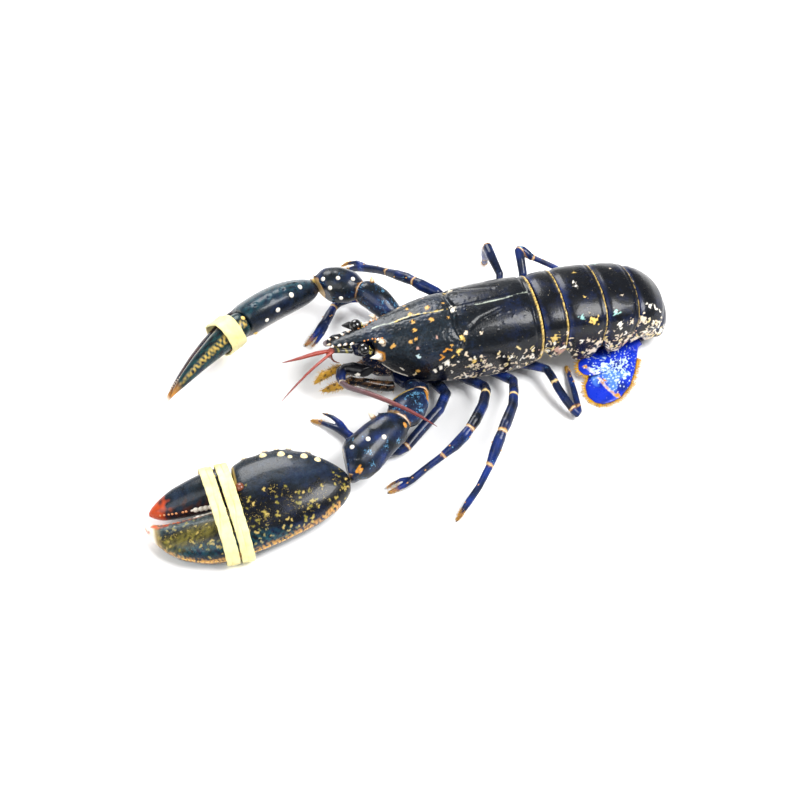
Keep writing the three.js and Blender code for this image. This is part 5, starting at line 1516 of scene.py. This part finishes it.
# %% Membranes in the joints
COLLAR_SHARE = 0.74
bpy.ops.object.select_all(action="DESELECT")
bpy.ops.mesh.primitive_torus_add(major_segments=26, minor_segments=8, major_radius=1, minor_radius=0.22)
collar_shape = bpy.context.active_object
COLLAR = shape_arrays(collar_shape)
bpy.data.objects.remove(collar_shape)
skin = Finish("joint_skin", Roughness=0.45, Subsurface_Weight=0.1, Subsurface_Scale=0.002)
skin_tone = skin.mix(skin.noise(1.5, 3).step(0.3, 0.7), (0.55, 0.36, 0.27), (0.7, 0.6, 0.48))
skin.set(Base_Color=skin_tone, Normal=skin.relief(skin.noise(0.6, 3), 0.08))
collars = []
for joint in joints.values():
    radius = joint.radius * COLLAR_SHARE
    collars.append((COLLAR, joint.middle, joint.direction, radius, radius, BONE))
grow("joint_membranes", collars, skin)

# %% [markdown]
# Bristles are the lobster's fur. They stand in tufts on the legs' fingertips and the mouthparts, and in
# a close fringe round the tail fan. One bristle is a bent three-sided spike with a handful of faces.
# Each has its own small patch in the map named OFBake, at its root's place on an unwrap of the shell
# that bears it, so that the baked colours of neighbours stay apart.

# %% One bristle and the coat
BRISTLE_STEPS = 3
BAKE_PATCH = 0.003


def bristle_arrays():
    corners, faces = [], []
    for step in range(BRISTLE_STEPS):
        share = step / BRISTLE_STEPS
        for turn in range(3):
            angle = turn * 2 * math.pi / 3
            width = 1 - share * 0.75
            corners.append((math.cos(angle) * width, math.sin(angle) * width, share))
    corners.append((0, 0, 1))
    for step in range(BRISTLE_STEPS - 1):
        for turn in range(3):
            a, b = step * 3 + turn, step * 3 + (turn + 1) % 3
            faces += [(a, b, b + 3), (a, b + 3, a + 3)]
    top = (BRISTLE_STEPS - 1) * 3
    faces += [(top + turn, top + (turn + 1) % 3, len(corners) - 1) for turn in range(3)]
    faces.append((0, 2, 1))
    return np.array(corners), np.array(faces)


BRISTLE = bristle_arrays()

# %% Where bristles lie on the baked map
MAP_EDGE, MAP_SPAN = 0.01, 0.97


def unwrap(plate, roots):
    """Where roots lie on an unwrap of a plate: along its long axis, and round that axis."""
    middle = plate.points.mean(axis=0)
    long_axis, flat_axis, thin_axis = np.linalg.svd(plate.points - middle, full_matrices=False)[2]
    along = (plate.points - middle) @ long_axis
    away = np.asarray(roots) - middle
    u = (away @ long_axis - along.min()) / (along.max() - along.min())
    v = np.arctan2(away @ thin_axis, away @ flat_axis) / (2 * math.pi) + 0.5
    return MAP_EDGE + MAP_SPAN * u, MAP_EDGE + MAP_SPAN * v


# %% The coat
BENT_BY_FLOOR = 0.25  # millimetres above the floor, where a bristle starts to bend along it


def coat(name, plate, tufts, finish, bend=0.25, seed=0):
    """Bristles on a plate: each tuft is (root, direction, length, radius, colour)."""
    shapes = [(BRISTLE, *tuft) for tuft in tufts]
    obj = grow(name, shapes, finish)
    corners = BRISTLE[0]
    points = points_of(obj).reshape(len(tufts), len(corners), 3)
    draw = np.random.default_rng(seed)
    lean = draw.normal(size=(len(tufts), 3)) * bend
    lengths = np.array([tuft[2] for tuft in tufts]) * MM
    points += (corners[:, 2] ** 2)[None, :, None] * (lean * lengths[:, None])[:, None, :]
    edge = BENT_BY_FLOOR * MM
    height = points[:, :, 2]
    points[:, :, 2] = np.where(height < edge, edge * np.exp((height - edge) / (3 * edge)), height)
    obj.data.vertices.foreach_set("co", points.ravel())
    obj.data.update()
    u, v = unwrap(plate, [tuft[0] for tuft in tufts])
    baked = obj.data.uv_layers.new(name="OFBake")
    local_uv = (corners[:, :2] * 0.35 + 0.5) * BAKE_PATCH
    uv = np.stack([u[:, None] + local_uv[:, 0], v[:, None] + local_uv[:, 1]], axis=2).reshape(-1, 2)
    order = np.empty(len(obj.data.loops), int)
    obj.data.loops.foreach_get("vertex_index", order)
    baked.data.foreach_set("uv", uv[order].ravel())


bristle = Finish("golden_bristle", Roughness=0.45)
bristle_height = bristle.attribute("height")
BRISTLE_ROOT = (0.2, 0.08, 0.01)
upper_tone = bristle.attribute("mark", "Color")
bristle_tone = bristle.mix(bristle_height.step(0.0, 0.2), BRISTLE_ROOT, upper_tone)
dark_share = bristle.noise(2.2, 2).step(0.5, 0.7) * 0.45
bristle.set(Base_Color=bristle.mix(dark_share, bristle_tone, BRISTLE_ROOT))

# %% [markdown]
# The blades' free edges bear a close golden fringe. Its bristles are rooted on the rim, where the shell
# faces sideways, and left out where another part of the blade lies below.

# %% The fringe of the tail fan
GOLD = (0.78, 0.43, 0.03)
FRINGE_MOST = 3400
for node, plate in fan.items():
    rim_points = np.abs(plate.normals[:, 2]) < 0.45
    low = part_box(node)[0]
    start = np.array([low.x - (0.004 if node == "telson" else 0), LANDMARK[1], 0.003])
    free = plate.away(start) > (22 if node == "telson" else 26)
    chosen = np.flatnonzero(rim_points & free)
    draw_fringe = np.random.default_rng(3)
    chosen = draw_fringe.permutation(chosen)[:FRINGE_MOST]
    tufts = []
    for index in chosen:
        root, out = plate.points[index], plate.normals[index]
        direction = unit(np.array([out[0], out[1], out[2] * 0.1]) + draw_fringe.normal(size=3) * 0.1)
        beyond = Vector(root + direction * 2.5 * MM - np.array([0, 0, 1.2]) * MM)
        if plate.tree.ray_cast(beyond, Vector((0, 0, -1)), 8 * MM)[0] is not None:
            continue
        room = root[2] + direction[2] * 3.4 * MM
        if room < 0.3 * MM:
            direction[2] = 0.05
        tufts.append((root, direction, draw_fringe.uniform(2.8, 4.2), 0.24, GOLD))
    coat(node + "_fringe", plate, tufts, bristle, bend=0.12, seed=5)

# %% [markdown]
# The legs' fingertips are brushes of short stiff bristles, closer towards the tip. Those of the
# mouthparts are longer and softer, and golden at the ends.

# %% Bristles of the fingertips
FINGERTIP_MOST, MOUTH_MOST = 170, 700
draw_tufts = np.random.default_rng(9)
for number in (2, 3, 4, 5):
    for side in ("left", "right"):
        plate = legs[f"leg_{number}_{side}_foot"]
        tip = plate.points[np.argmax(plate.away(joints_of(f"leg_{number}_{side}_foot")[0].middle))]
        reach = plate.away(tip)
        chance = bounded((11 - reach) / 9) * (reach > 1.5) * (plate.points[:, 2] > 0.9 * MM)
        chosen = np.flatnonzero(draw_tufts.random(len(reach)) < chance)
        chosen = draw_tufts.permutation(chosen)[:FINGERTIP_MOST]
        tufts = []
        for index in chosen:
            root, out = plate.points[index], plate.normals[index]
            direction = unit(out * 0.9 + unit(tip - root) * 0.8)
            direction[2] = max(direction[2], -0.2)
            tufts.append((root, direction, draw_tufts.uniform(0.8, 1.7), 0.13, (0.62, 0.34, 0.05)))
        coat(f"leg_{number}_{side}_bristles", plate, tufts, bristle, seed=number)

# %% Bristles of the mouthparts
for side, plate in mouths.items():
    local = plate.local()
    chance = 0.1 * np.clip((local[:, 0] - 112) / 12, 0.12, 1) * (local[:, 2] > 1.5)
    chosen = np.flatnonzero(draw_tufts.random(len(local)) < chance)
    chosen = draw_tufts.permutation(chosen)[:MOUTH_MOST]
    tufts = []
    for index in chosen:
        root, out = plate.points[index], plate.normals[index]
        direction = unit(out + np.array([0.7, 0, 0]) + draw_tufts.normal(size=3) * 0.3)
        colour = (0.66, 0.4, 0.05) if local[index, 0] > 119 else (0.3, 0.17, 0.06)
        tufts.append((root, direction, draw_tufts.uniform(1.2, 2.4), 0.16, colour))
    coat(f"maxilliped_{side}_bristles", plate, tufts, bristle, seed=20)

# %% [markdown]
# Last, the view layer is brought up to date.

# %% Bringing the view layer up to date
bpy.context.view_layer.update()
